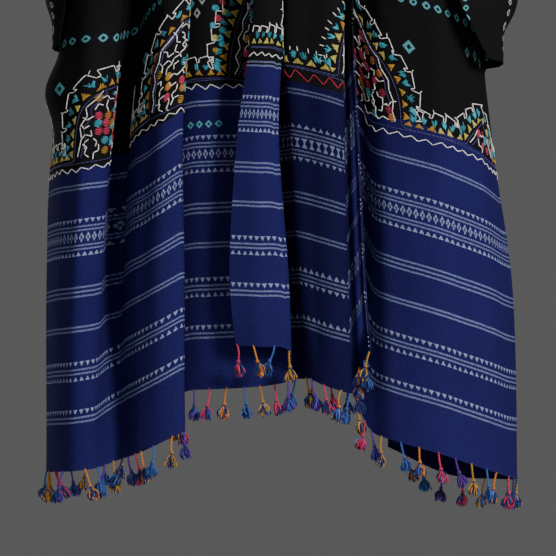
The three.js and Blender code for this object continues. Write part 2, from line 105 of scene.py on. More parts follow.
# Levels of the arm drapes from the neck down: where the drape ends over the chest, and the
# outermost place of shoulder and arm.
ARM_COLUMNS = ("front_x", "front_y", "front_z", "outer_x", "outer_y", "outer_z")
LEFT_ARM = [
    (62, 18, 0, 70, 42, 3),
    (105, 2, -10, 120, 40, -10),
    (165, -22, -42, 192, 38, -40),
    (206, -55, -110, 252, 28, -112),
    (230, -95, -210, 292, 18, -205),
    (238, -128, -310, 318, 6, -300),
    (236, -150, -400, 326, 0, -395),
    (256, -157, -446, 304, -20, -446),
    (277, -150, -484, 300, -50, -486),
]
RIGHT_ARM = [
    (-62, 18, 0, -70, 42, 3),
    (-105, 2, -10, -120, 40, -10),
    (-165, -22, -42, -192, 38, -40),
    (-208, -55, -110, -252, 28, -112),
    (-242, -90, -210, -292, 18, -205),
    (-268, -112, -310, -318, 6, -300),
    (-290, -120, -390, -327, 0, -390),
    (-296, -112, -426, -316, -20, -428),
    (-303, -92, -461, -313, -48, -464),
]
# The same levels over the shoulder blade and at the middle of the back.
BACK_COLUMNS = ("blade_x", "blade_y", "blade_z", "middle_y", "middle_z")
BACK = [
    (48, 72, 8, 86, 10),
    (84, 96, -10, 106, -14),
    (132, 126, -55, 132, -70),
    (165, 150, -135, 150, -150),
    (188, 163, -225, 160, -250),
    (202, 170, -325, 166, -370),
    (212, 172, -425, 169, -490),
    (218, 170, -500, 171, -580),
    (222, 166, -560, 172, -650),
]
# Soft folds down the back, placed in columns of the sections from the middle.
BACK_FOLDS = [
    {"at": -1.3, "lean": -0.12, "width": 0.2, "depth": 15, "start": 1.6},
    {"at": -0.5, "lean": -0.16, "width": 0.17, "depth": 19, "start": 2.2},
    {"at": 0.1, "lean": -0.05, "width": 0.15, "depth": 13, "start": 3.4},
    {"at": 0.6, "lean": 0.2, "width": 0.18, "depth": 20, "start": 1.9},
    {"at": 1.35, "lean": 0.1, "width": 0.21, "depth": 14, "start": 2.6},
]

# Fold lines of each end, from the margin at the neck to the selvedge behind the hip: x and y at
# four heights, the height of the hem, where the top is tucked under the drape, and how far the
# woven bands sit above their usual distance from the hem.
FOLD_COLUMNS = ("top", "mid", "low", "hem", "hem_z", "level", "round", "deep", "lift")
RIGHT_END = [
    ("strip selvedge", (-38, -150), (-60, -150), (-70, -152), (-62, -150), -868, 0.58, 0.95, 0, 0),
    ("strip middle", (-22, -157), (-35, -159), (-33, -162), (-28, -160), -870, 0.47, 0.95, 0, 0),
    ("strip fold, front", (-6, -150), (-11, -151), (3, -153), (6, -150), -873, 0.36, 0.95, 0, 0),
    ("strip fold, edge", (-1, -140), (-6, -140), (8, -141), (13, -138), -894, 0.3, 0.95, 3, 21),
    ("strip fold, back", (-10, -128), (-14, -128), (0, -128), (9, -124), -916, 0.34, 0.95, 6, 20),
    ("behind the fold", (-27, -98), (-27, -108), (-22, -112), (-14, -114), -923, 0.5, 0.95, 9, 0),
    ("inner hollow", (-55, -66), (-57, -92), (-57, -104), (-52, -108), -927, 0.74, 0.95, 9, 0),
    ("inner crown", (-95, -96), (-95, -100), (-95, -106), (-92, -110), -929, 0.98, 0.95, 9, 0),
    ("inner far side", (-126, -84), (-130, -86), (-130, -90), (-128, -94), -932, 1.12, 0.95, 12, 0),
    ("pleat back", (-154, -66), (-161, -66), (-160, -68), (-159, -72), -948, 1.36, 0.95, 14, 3),
    ("pleat return", (-144, -98), (-152, -100), (-152, -102), (-151, -106), -965, 1.3, 0.95, 8, 9),
    ("pleat edge", (-124, -126), (-134, -128), (-132, -132), (-131, -134), -984, 1.2, 0.95, 3, 15),
    ("pleat front", (-129, -137), (-139, -140), (-137, -143), (-136, -144), -986, 1.24, 0.95, 0, 15),
    ("pleat crown", (-153, -138), (-160, -141), (-164, -144), (-164, -144), -1000, 1.45, 0.95, 0, 13),
    ("pleat far side", (-176, -108), (-186, -108), (-195, -114), (-193, -128), -1014, 1.75, 0.95, 1, 11),
    ("deep fold", (-197, -58), (-220, -38), (-230, -46), (-226, -90), -1027, 2.05, 0.95, 6, 6),
    ("deep fold far side", (-213, -82), (-235, -76), (-247, -82), (-246, -108), -1034, 2.3, 0.95, 3, 0),
    ("outer ridge", (-220, -108), (-240, -110), (-253, -112), (-257, -122), -1036, 2.6, 0.95, 0, -4),
    ("outer crown", (-257, -120), (-267, -124), (-278, -122), (-281, -124), -1039, 3.3, 0.95, 0, -5),
    ("outer far side", (-295, -86), (-297, -88), (-304, -90), (-305, -94), -1042, 4.2, 0.93, 0, -5),
    ("side turn", (-290, -14), (-320, -12), (-326, -10), (-327, -10), -1048, 5.3, 0.8, 0, -4),
    ("wrap side", (-276, 46), (-306, 50), (-311, 48), (-305, 44), -1047, 7.3, 0.55, 2, 0),
    ("wrap back", (-242, 84), (-243, 82), (-242, 78), (-242, 72), -1030, 7.4, 0.48, 0, 0),
    ("wrap selvedge", (-200, 96), (-189, 96), (-189, 94), (-189, 90), -1007, 7.5, 0.41, 0, 0),
]
LEFT_END = [
    ("lapel selvedge", (96, -134), (104, -136), (112, -138), (120, -136), -875, 1.05, 0.95, 0, 0),
    ("lapel turn", (94, -118), (99, -119), (105, -120), (110, -120), -892, 1, 0.95, 0, 0),
    ("lapel valley", (84, -98), (88, -99), (93, -99), (97, -100), -914, 0.94, 0.95, 2, 0),
    ("lapel ridge back", (79, -122), (80, -122), (84, -122), (92, -122), -931, 0.91, 0.95, 1, 0),
    ("lapel ridge", (83, -138), (83, -141), (87, -144), (92, -142), -933, 0.88, 0.95, 0, 0),
    ("lapel middle", (48, -143), (51, -147), (54, -149), (59, -148), -923, 0.66, 0.95, 0, 0),
    ("lapel fold, front", (7, -134), (13, -132), (23, -132), (37, -131), -913, 0.46, 0.95, 0, 0),
    ("lapel fold, edge", (3, -122), (9, -118), (20, -116), (36, -116), -913, 0.4, 0.95, 3, 0),
    ("lapel fold, back", (-10, -98), (-9, -97), (-1, -98), (16, -99), -915, 0.45, 0.95, 7, 0),
    ("under the lapel", (66, -84), (72, -82), (79, -80), (85, -82), -923, 1, 0.95, 9, 0),
    ("outer near side", (112, -92), (117, -92), (123, -94), (121, -96), -985, 1.3, 0.95, 6, -3),
    ("outer ridge", (139, -116), (143, -118), (146, -120), (149, -122), -997, 1.5, 0.95, 2, -4),
    ("outer crown", (200, -128), (206, -132), (206, -134), (213, -132), -1015, 1.95, 0.95, 0, -4),
    ("outer far side", (249, -112), (258, -112), (269, -110), (271, -108), -1036, 3.2, 0.95, 0, -4),
    ("before the side", (269, -64), (283, -62), (304, -62), (311, -62), -1051, 4.4, 0.9, 0, -4),
    ("side turn", (278, -6), (295, -4), (320, 0), (328, 0), -1059, 5.4, 0.78, 2, -2),
    ("wrap side", (262, 48), (284, 50), (306, 52), (312, 52), -1063, 7.3, 0.55, 4, 0),
    ("wrap back", (232, 78), (235, 78), (243, 80), (240, 82), -1059, 7.4, 0.48, 0, 0),
    ("wrap selvedge", (190, 92), (169, 92), (161, 94), (152, 96), -1020, 7.5, 0.41, 0, 0),
]

# Where the right end swells out over the elbow, just below the drape.
RIGHT_SWELL = {"fold": 20, "spread": 1.1, "z": -518, "tall": 38, "out": -24}

# By weft on each end: the level of the border, and how far black reaches below it; soft troughs
# and ridges as middle, half width and distance along the normal, which points inwards on the right
# end and outwards on the left; hollows of the same kind that fade out at the hem; how far the
# margin is set back; and what the bands' distance from the hem is multiplied by.
RIGHT_CLOTH = {
    "border": (
        [0, 100, 180, 260, 350, 428, 510, 590, 935],
        [416, 416, 426, 426, 430, 440, 434, 428, 422],
    ),
    "overlap": ([0, 90, 114, 340, 380, 480, 540, 935], [28, 28, 12, 12, 18, 18, 12, 12]),
    "troughs": [(283, 12, 5), (132, 16, 5), (640, 14, 2)],
    "hollows": [(460, 20, -3), (520, 18, 11), (572, 14, -3)],
    "margin_back": 0.0,
    "take_up": ([0, 90, 140, 935], [1.0275, 1.0275, 1, 1]),
}
LEFT_CLOTH = {
    "border": ([0, 160, 320, 440, 490, 600, 836], [426, 426, 433, 436, 441, 440, 424]),
    "overlap": ([0, 160, 320, 390, 440, 500, 600, 836], [24, 24, 3, -8, -6, 1, 3, 10]),
    "troughs": [(138, 10, 2.5), (112, 10, -3), (312, 16, -9), (440, 20, 1.5), (470, 12, -1.5)],
    "hollows": [(322, 16, -9)],
    "margin_back": 20.0,
    "take_up": ([0, 836], [1, 1]),
}

# ---------------------------------------------------------------- curves and surfaces

# In a section of the drapes, the elbow lies between the front edge and the outermost place, and
# the corner between the outermost place and the shoulder blade, lower towards the drape's tip.
ELBOW_SHARE = (0.75, 0.3, 0.5)
CORNER_SHARE = (0.3, 0.55)
CORNER_RISE, CORNER_DROP = 0.5, 0.45
TIP_HEIGHTS = (400, 480)

# The ends: heights of their upper and low fold places, how they lie on the chest, and how far
# below the cloth of the drape their top is tucked, towards a place inside the body.
FRONT_TOP = -400
FRONT_LOW = -778
TUCK_DROP = 110
CHEST_KEEP = 0.9
CHEST_LEVELS = (1.5, 3)
TUCK_CLEAR = 2.0
BODY_Y, BODY_DROP = 30.0, 60
NUDGE = 0.01
LAST_SECTION = 5
SIDE_COLUMNS = 5
FINE_PLACES = 4001


def through(points, at):
    """Places on the smooth curves through points[0], points[1] and so on, at numbers of points.

    Each stretch is timed by the square root of its length, which keeps the curves from looping.
    """
    count = len(points)
    at = np.clip(at, 0, count - 1)
    k = np.minimum(np.floor(at).astype(int), count - 2)
    w = (at - k)[:, None]
    columns = np.arange(len(at))
    pick = (lambda j: points[j]) if points.ndim == 2 else (lambda j: points[j, columns])
    p1, p2 = pick(k), pick(k + 1)
    p0 = np.where((k > 0)[:, None], pick(np.maximum(k - 1, 0)), 2 * p1 - p2)
    p3 = np.where((k + 2 < count)[:, None], pick(np.minimum(k + 2, count - 1)), 2 * p2 - p1)
    d0, d1, d2 = (
        np.sqrt(np.linalg.norm(b - a, axis=1))[:, None] for a, b in ((p0, p1), (p1, p2), (p2, p3))
    )
    d1 = np.where(d1 < 1e-4, 1.0, d1)
    d0 = np.where(d0 < 1e-4, d1, d0)
    d2 = np.where(d2 < 1e-4, d1, d2)
    t1 = d1 * ((p1 - p0) / d0 - (p2 - p0) / (d0 + d1) + (p2 - p1) / d1)
    t2 = d1 * ((p2 - p1) / d1 - (p3 - p1) / (d1 + d2) + (p3 - p2) / d2)
    return (
        p1 + t1 * w + (-3 * p1 + 3 * p2 - 2 * t1 - t2) * w**2 + (2 * p1 - 2 * p2 + t1 + t2) * w**3
    )


def smoothstep(x, low, high):
    x = np.clip((x - low) / (high - low), 0, 1)
    return x * x * (3 - 2 * x)


def arm_points(arm, back):
    """Five places of a drape section, from the front edge over the arm to the shoulder blade."""
    a, b = dict(zip(ARM_COLUMNS, arm)), dict(zip(BACK_COLUMNS, back))
    side = np.sign(a["front_x"])
    front = np.array([a["front_x"], a["front_y"], a["front_z"]], float)
    outer = np.array([a["outer_x"], a["outer_y"], a["outer_z"]], float)
    blade = np.array([side * b["blade_x"], b["blade_y"], b["blade_z"]], float)
    elbow = front + (outer - front) * ELBOW_SHARE
    tip = smoothstep(-outer[2], *TIP_HEIGHTS)
    corner = outer + (blade - outer) * (*CORNER_SHARE, CORNER_RISE - CORNER_DROP * tip)
    return [front, elbow, outer, corner, blade]


SECTIONS = [
    np.array(
        arm_points(right, back)
        + [np.array([0, back[3], back[4]], float)]
        + arm_points(left, back)[::-1]
    )
    for right, left, back in zip(RIGHT_ARM, LEFT_ARM, BACK)
]
LAST_LEVEL = len(SECTIONS) - 1


def drape(index, level):
    """Places on the back and arm drapes."""
    point = through(np.stack([through(section, index) for section in SECTIONS]), level)
    for fold in BACK_FOLDS:
        off = (index - SIDE_COLUMNS - fold["at"] - fold["lean"] * level / LAST_LEVEL) / fold["width"]
        point[:, 1] += fold["depth"] * np.exp(-off * off) * smoothstep(level, fold["start"], LAST_LEVEL)
    return point


def unit(v):
    return v / np.maximum(np.linalg.norm(v, axis=-1, keepdims=True), 1e-9)


def tucked(round_at, level, deep):
    """Places under the drape, a share of the way round it, at a level and so deep below the cloth."""
    index = SIDE_COLUMNS * (1 + round_at)
    last = 2 * SIDE_COLUMNS
    point = drape(index, level)
    across = drape(np.minimum(index + NUDGE, last), level) - drape(np.maximum(index - NUDGE, 0), level)
    up = drape(index, np.minimum(level + NUDGE, LAST_LEVEL)) - drape(index, np.maximum(level - NUDGE, 0))
    normal = unit(np.cross(across, up))
    body = np.column_stack([np.zeros(len(point)), np.full(len(point), BODY_Y), point[:, 2] - BODY_DROP])
    normal *= np.where(np.sum(normal * (body - point), axis=1) < 0, -1, 1)[:, None]
    return point + normal * (TUCK_CLEAR + deep)[:, None]


class End:
    """A hanging end: a surface over its fold lines and up from the hem.

    Its margin turns over at the fold named turn, and cloth holds its tables by weft.
    """

    def __init__(self, table, side, swell, turn, cloth):
        self.side = side
        self.swell = swell
        self.cloth = cloth
        self.names = [row[0] for row in table]
        self.rows = [dict(zip(FOLD_COLUMNS, row[1:])) for row in table]
        self.last = len(table) - 1
        numbers = np.arange(len(table), dtype=float)
        tuck = self.tuck(numbers)
        levels = []
        for row, place in zip(self.rows, tuck):
            top_z = min(FRONT_TOP, place[2] - TUCK_DROP)
            top = np.array([*row["top"], top_z], float)
            chest = (top + place) / 2
            chest[1] += (CHEST_KEEP - 0.5) * top[1] * (1 - smoothstep(row["level"], *CHEST_LEVELS))
            levels.append([
                np.array([*row["hem"], row["hem_z"]], float),
                np.array([*row["low"], FRONT_LOW], float),
                np.array([*row["mid"], (FRONT_LOW + top_z) / 2], float),
                top,
                chest,
            ])
        self.levels = np.array(levels).transpose(1, 0, 2)
        fine = np.linspace(0, self.last, FINE_PLACES)
        low = self.at(fine, np.ones_like(fine))
        self.fine = fine
        self.weft = np.concatenate([[0], np.cumsum(np.linalg.norm(np.diff(low, axis=0), axis=1))])
        self.width = self.weft[-1]
        self.turn_weft = np.interp(self.fold(turn), fine, self.weft)

    def fold(self, name):
        return self.names.index(name)

    def column(self, name, c):
        """A value of the table at fold numbers."""
        return np.interp(c, np.arange(self.last + 1), [row[name] for row in self.rows])

    def tuck(self, c):
        """Places of the end's top edge, under the drape."""
        round_at, level, deep = (self.column(name, c) for name in ("round", "level", "deep"))
        return tucked(self.side * round_at, level, deep)

    def at(self, c, v):
        """Places at fold numbers and at numbers of levels from the hem."""
        curves = [through(level, c) for level in self.levels] + [self.tuck(c)]
        point = through(np.stack(curves), v)
        if self.swell:
            across = (c - self.swell["fold"]) / self.swell["spread"]
            down = (point[:, 2] - self.swell["z"]) / self.swell["tall"]
            point[:, 0] += self.swell["out"] * np.exp(-(across**2) - down**2)
        return point


right_end = End(RIGHT_END, -1, RIGHT_SWELL, "strip fold, edge", RIGHT_CLOTH)
left_end = End(LEFT_END, 1, None, "lapel fold, edge", LEFT_CLOTH)

# ---------------------------------------------------------------- shader expressions


class Value:
    """A number that varies over a surface, worked out by the material's own nodes."""

    def __init__(self, paint, socket):
        self.paint = paint
        self.socket = socket

    def _math(self, operation, *others):
        return self.paint.node("ShaderNodeMath", {"operation": operation}, self, *others)

    def __add__(self, other):
        return self._math("ADD", other)

    def __sub__(self, other):
        return self._math("SUBTRACT", other)

    def __mul__(self, other):
        return self._math("MULTIPLY", other)

    def __truediv__(self, other):
        return self._math("DIVIDE", other)

    def __rsub__(self, other):
        return (self * -1) + other

    __radd__ = __add__
    __rmul__ = __mul__

    def fract(self):
        return self._math("FRACT")

    def floor(self):
        return self._math("FLOOR")

    def absolute(self):
        return self._math("ABSOLUTE")

    def sine(self):
        return self._math("SINE")

    def larger(self, other):
        return self._math("MAXIMUM", other)

    def above(self, other):
        return self._math("GREATER_THAN", other)

    def below(self, other):
        return self._math("LESS_THAN", other)

    def held(self):
        """The value kept between nought and one."""
        return self.paint.node("ShaderNodeMath", {"operation": "ADD", "use_clamp": True}, self, 0.0)


# The factor's and the two colours' places among the sockets of a Mix node, and its colour result.
BLEND_SOCKETS = (0, 6, 7)
BLEND_RESULT = 2


class Paint:
    """A material and the nodes that are added to it."""

    def __init__(self, name, roughness, sheen=0.0, specular=0.3):
        self.material = bpy.data.materials.new(name)
        self.material.use_nodes = True
        self.tree = self.material.node_tree
        self.shader = self.tree.nodes["Principled BSDF"]
        self.shader.inputs["Roughness"].default_value = roughness
        self.shader.inputs["Sheen Weight"].default_value = sheen
        self.shader.inputs["Sheen Roughness"].default_value = 0.45
        self.shader.inputs["Specular IOR Level"].default_value = specular

    def node(self, kind, settings, *inputs, output=0, **named):
        node = self.tree.nodes.new(kind)
        for key, setting in settings.items():
            setattr(node, key, setting)
        for place, value in [*enumerate(inputs), *named.items()]:
            socket = node.inputs[place]
            if isinstance(value, Value):
                self.tree.links.new(value.socket, socket)
            elif value is not None:
                socket.default_value = value
        return Value(self, node.outputs[output])

    def feed(self, name, value):
        self.tree.links.new(value.socket, self.shader.inputs[name])

    def blend(self, factor, first, second, kind="MIX"):
        """A mix of two colours, each a tuple or a value."""
        node = self.tree.nodes.new("ShaderNodeMix")
        node.data_type = "RGBA"
        node.blend_type = kind
        for place, value in zip(BLEND_SOCKETS, (factor, first, second)):
            socket = node.inputs[place]
            if isinstance(value, Value):
                self.tree.links.new(value.socket, socket)
            elif isinstance(value, tuple):
                socket.default_value = (*value, 1)
            else:
                socket.default_value = value
        return Value(self, node.outputs[BLEND_RESULT])

    def noise(self, vector, scale, detail=2.0, roughness=0.5):
        return self.node(
            "ShaderNodeTexNoise",
            {"noise_dimensions": "3D"},
            Vector=vector,
            Scale=scale,
            Detail=detail,
            Roughness=roughness,
        )

    def parts(self, vector):
        node = self.tree.nodes.new("ShaderNodeSeparateXYZ")
        self.tree.links.new(vector.socket, node.inputs[0])
        return [Value(self, out) for out in node.outputs]

    def joined(self, x, y, z):
        return self.node("ShaderNodeCombineXYZ", {}, x, y, z)

    def bump(self, height, distance, strength):
        relief = self.node("ShaderNodeBump", {}, Strength=strength, Distance=distance, Height=height)
        self.feed("Normal", relief)


def scaled(colour, factor):
    return tuple(factor * c for c in colour)


# ---------------------------------------------------------------- wool finishes

BLUE = (0.0140, 0.0116, 0.086)
BLACK = (0.0075, 0.0075, 0.0085)
PALE = (0.27, 0.31, 0.50)
PALE_SOFT = (0.15, 0.175, 0.33)
TEAL_DOT = (0.110, 0.372, 0.420)
GREY_DOT = (0.42, 0.45, 0.45)

TRIANGLE_PITCH = 8.6
DIAMOND_PITCH = 8.8
ROPE_PITCH = 2.7
TWILL_PITCH = 1.6
THREAD_WEFT, THREAD_WARP = 0.8, 0.9

# Woven bands by their distance from the hem: pairs of edges.
LINES = [
    (69, 71.8), (75, 77.8),
    (134.3, 137.0), (139.8, 142.5),
    (192, 194.8), (197.4, 200.2),
    (239, 241.7), (245.1, 247.8), (251.3, 254),
    (303.2, 305.7), (308.3, 310.8), (329.0, 331.5), (334.1, 336.6),
    (385.6, 388.2), (390.8, 393.4),
]
TRIANGLES_UP = [(125, 131.2), (295, 300.6)]
TRIANGLES_DOWN = [(80.8, 87), (145.6, 151.8), (339.4, 345)]
DIAMONDS = (313.2, 326.6)

# Painted light: the turned-back margin by the lapel's selvedge gets a brighter blue than the rest of the
# reverse, standing in for light on it, over a width that narrows up the warp and ends in a short fade.
MARGIN_END = 56.0
MARGIN_NARROWING = 0.075
MARGIN_FADE = 14
MARGIN_PAINTED_LIGHT_BLUES = (scaled(BLUE, 0.7), scaled(BLUE, 1.7))

# Tie-dyed dots: rows along the weft, larger single ones between them, and one group on the blue.
ROW_LEVEL, ROW_PITCH = 590, 84
ROWS_FROM = 548
DOT_PITCH = 17.5
SINGLE_PLACE = (73, 527)
SINGLE_PITCH = (205, 168)
GROUP_START, GROUP_PITCH = 198, 13.7
GROUP_MIDDLE = (218.5, 361)
GROUP_HALF = 27


def woven_lines(weft, warp, wander):
    """Pale lines along the weft, each broken like a twisted rope."""
    lines = None
    for i, (low, high) in enumerate(LINES):
        middle, half = (low + high) / 2, (high - low) / 2
        slant = 0.55 if i % 2 else -0.55
        inside = ((warp + wander * 0.5 - middle).absolute()).below(half)
        rope = ((weft + warp * slant) / ROPE_PITCH).fract().below(0.58)
        mark = inside * (rope * 0.8 + 0.2)
        lines = mark if lines is None else lines.larger(mark)
    return lines


def woven_shapes(weft, warp, reverse):
    """Rows of triangles and one row of diamonds; the reverse has both the other way round."""
    centred = ((weft / TRIANGLE_PITCH).fract() - 0.5).absolute() * 2
    shapes = None
    for rows, up in ((TRIANGLES_UP, not reverse), (TRIANGLES_DOWN, reverse)):
        for low, high in rows:
            y = (warp - low) / (high - low)
            inside = (y - 0.5).absolute().below(0.48)
            slope = (1 - y) if up else y
            mark = inside * centred.below(slope * 0.76 + 0.04)
            shapes = mark if shapes is None else shapes.larger(mark)
    low, high = DIAMONDS
    y = ((warp - low) / (high - low) - 0.5).absolute() * 2
    x = ((weft / DIAMOND_PITCH).fract() - 0.5).absolute() * 2
    if reverse:
        return shapes.larger((x.below(y * 0.7 + 0.12)) * y.below(1))
    split = (x * 1.15 - y).absolute().above(0.15)
    return shapes.larger((x * 1.15 + y).below(1.0) * split)


def around(value, pitch):
    """Distance from the middle of the nearest step of a repeat."""
    return (value.fract() - 0.5) * pitch


def dyed_dots(paint, weft, warp, dot_lift, single_shift, spots):
    """Rings in rows, large single rings, and the number of the row."""
    wobble = (paint.noise(paint.joined(weft * 0.05, warp * 0.05, 1.0), 1.0) - 0.5) * 6
    level = warp - dot_lift
    row = (level - ROW_LEVEL + wobble) / ROW_PITCH + 0.5
    v = around(row, ROW_PITCH).absolute()
    squeeze = (paint.noise(paint.joined(weft * 0.03, 0.0, 9.0), 1.0) - 0.5) * 16
    u = around((weft + squeeze) / DOT_PITCH, DOT_PITCH).absolute()
    away = (u + v) * 0.75 + u.larger(v) * 0.35
    ring = away.below(6.3) * away.above(2.7) * level.above(ROWS_FROM)
    for spot_weft, spot_warp in spots:
        far = (weft - spot_weft).absolute() * 1.3 + (warp - spot_warp).absolute()
        ring = ring.larger(far.below(7.5) * far.above(3.2))
    u = around((weft - SINGLE_PLACE[0] + single_shift) / SINGLE_PITCH[0], SINGLE_PITCH[0])
    v = around((level - SINGLE_PLACE[1]) / SINGLE_PITCH[1] + 0.5, SINGLE_PITCH[1])
    far = (u.absolute() * 1.15 + v.absolute()) * 0.8
    single = far.below(7.6) * far.above(3.0)
    return ring, single, row


def dyed_group(weft, warp):
    """A short row of small rings on the blue."""
    u = around((weft - GROUP_START) / GROUP_PITCH + 0.5, GROUP_PITCH)
    middle_weft, middle_warp = GROUP_MIDDLE
    far = u.absolute() + (warp - middle_warp).absolute()
    return far.below(5.4) * far.above(2.2) * (weft - middle_weft).absolute().below(GROUP_HALF)


def blue_wool(paint, weft, warp, tone, reverse):
    """The ground of the ends: darker on the reverse, which also serves as painted shade on the lapel, and
    brighter on the turned-back margin as painted light.
    """
    # Partly painted shade: the reverse's blue is darkened, which also stands in for the shade on the
    # lapel.
    part = 0.45 if reverse else 1.0
    blue = paint.blend(tone, scaled(scaled(BLUE, 0.62), part), scaled(scaled(BLUE, 1.5), part))
    if not reverse:
        return blue
    # Painted light: the brighter margin blue, fading out away from the selvedge and up the warp.
    margin = ((MARGIN_END - weft - warp * MARGIN_NARROWING) / MARGIN_FADE).held()
    return paint.blend(margin, blue, paint.blend(tone, *MARGIN_PAINTED_LIGHT_BLUES))


def wool(name, reverse=False, single_shift=0.0, dot_lift=0.0, grouped=False, spots=()):
    """Wool cloth: woven bands on the blue ends, tie-dyed dots on the black field."""
    paint = Paint(name, roughness=0.86, sheen=0.0, specular=0.05)
    cloth = paint.node("ShaderNodeUVMap", {"uv_map": "cloth"})
    weft_m, warp_m, _ = paint.parts(cloth)
    weft, warp = weft_m * (1 / MM), warp_m * (1 / MM)
    place = paint.node("ShaderNodeTexCoord", {}, output="Object")

    heather = paint.noise(paint.joined(weft * 0.5, warp * 0.3, 0.0), 1.0, detail=3.0, roughness=0.75)
    cloudy = paint.noise(place, 7.0, detail=2.0)
    tone = ((heather - 0.5) * 2.3 + (cloudy - 0.5) * 0.5 + 0.5).held()
    blue = blue_wool(paint, weft, warp, tone, reverse)
    black = paint.blend(tone, scaled(BLACK, 0.6), scaled(BLACK, 1.5))

    wander = (paint.noise(paint.joined(weft * 0.25, warp * 0.25, 7.0), 1.0) - 0.5) * 1.1
    thread_weft = ((weft + wander) / THREAD_WEFT).floor() * THREAD_WEFT
    thread_warp = ((warp + wander) / THREAD_WARP).floor() * THREAD_WARP
    lines = woven_lines(weft, warp, wander)
    shapes = woven_shapes(thread_weft, thread_warp, reverse)

    worn = paint.noise(paint.joined(weft * 0.6, warp * 0.6, 3.0), 1.0, detail=2.0)
    worn = ((worn - 0.5) * 3.2 + 0.5).held()
    # Partly painted shade: the reverse's pale bands are darkened too, which also stands in for the
    # lapel's shade.
    part = 0.6 if reverse else 1.0
    pale = paint.blend(worn, scaled(PALE, 0.5 * part), scaled(PALE, 1.25 * part))
    pale_line = paint.blend(worn, scaled(PALE_SOFT, 0.45 * part), scaled(PALE_SOFT, 1.75 * part))
    banded = paint.blend(shapes, paint.blend(lines, blue, pale_line), pale)
    if grouped:
        banded = paint.blend(dyed_group(weft, warp), banded, TEAL_DOT)

    ring, single, row = dyed_dots(paint, weft, warp, dot_lift, single_shift, spots)
    parity = (row.floor() * 0.5).fract().above(0.25)
    dot_colour = paint.blend(single, paint.blend(parity, TEAL_DOT, GREY_DOT), TEAL_DOT)
    dotted = paint.blend(ring.larger(single) * (worn * 0.6 + 0.5), black, dot_colour)

    border = paint.node("ShaderNodeAttribute", {"attribute_name": "border"}, output=2)
    is_field = (border + wander).above(0.0)
    paint.feed("Base Color", paint.blend(lines, paint.blend(is_field, banded, dotted), pale_line))

    twill = ((weft + warp) * (2 * math.pi / TWILL_PITCH)).sine()
    fuzz = paint.noise(paint.joined(weft * 1.4, warp * 1.4, 5.0), 1.0, detail=3.0)
    height = twill * 0.18 + fuzz * 0.7 + lines.larger(shapes) * 0.5 * (1 - is_field)
    paint.bump(height, distance=0.0006, strength=0.55)
    return paint.material


right_face = wool("right_end_face", single_shift=-68.0, grouped=True, spots=((223, 531), (231, 513)))
left_face = wool(
    "left_end_face", single_shift=-228.0, dot_lift=17.0, spots=((500, 567), (520, 569), (541, 567))
)
reverse_side = wool("wool_reverse", reverse=True)


def floor_paint(colour):
    paint = Paint("floor_paint", roughness=0.9)
    place = paint.node("ShaderNodeTexCoord", {}, output="Object")
    grain = paint.noise(place, 6.0, detail=4.0)
    paint.feed("Base Color", paint.blend(grain, scaled(colour, 0.94), colour))
    return paint.material


floor.data.materials.append(floor_paint((0.62, 0.61, 0.6)))

# ---------------------------------------------------------------- the sheets

CLOTH = 1.3
GRID_STEP = 3.4
END_ROWS = (34, 32, 32, 30, 30)
SMOOTH_ANGLE = 60
# The relief fades out at the hem and under the drape, by levels from the hem.
EASE_IN, EASE_OUT = (0.0, 0.4), (4.0, 4.8)
# The deeper hollows grow up from the hem and lose most of their depth by the drape, by warp.
HOLLOWS_GROW, HOLLOWS_FADE, HOLLOWS_LOSS = (60, 300), (480, 600), 0.75
MARGIN_BEND = (6, 36)
LIFT_GROWS = (0, 60)


def quad_mesh(name, places, faces, finishes):
    """A mesh from places in millimetres and faces with four corners."""
    mesh = bpy.data.meshes.new(name)
    mesh.vertices.add(len(places))
    mesh.vertices.foreach_set("co", (places * MM).astype(np.float32).ravel())
    mesh.loops.add(4 * len(faces))
    mesh.loops.foreach_set("vertex_index", faces.astype(np.int32).ravel())
    mesh.polygons.add(len(faces))
    mesh.polygons.foreach_set("loop_start", np.arange(0, 4 * len(faces), 4, dtype=np.int32))
    for finish in finishes:
        mesh.materials.append(finish)
    return mesh


def placed(mesh):
    """The object of a mesh, in the scene."""
    mesh.update(calc_edges=True)
    mesh.validate()
    piece = bpy.data.objects.new(mesh.name, mesh)
    bpy.context.scene.collection.objects.link(piece)
    return piece


def creases(weft, warp, seed):
    """Small soft relief of the wool, in millimetres, mostly along the hang of the cloth."""
    a = np.sin(weft * 0.071 + 1.3 * np.sin(warp * 0.0047 + seed) + seed)
    b = np.sin(weft * 0.151 + 0.9 * np.sin(warp * 0.0083 + 2 * seed) + 1.7 * seed)
    c = np.sin(weft * 0.033 + warp * 0.012 + 3 * seed)
    return 0.55 * a + 0.3 * b + 0.5 * c


def troughs(weft, table):
    """Soft troughs and ridges by weft: middle, half width and distance along the normal."""
    return sum(reach * np.exp(-(((weft - middle) / half) ** 2)) for middle, half, reach in table)


def grid_normals(points):
    return unit(np.cross(np.gradient(points, axis=1), np.gradient(points, axis=0)))


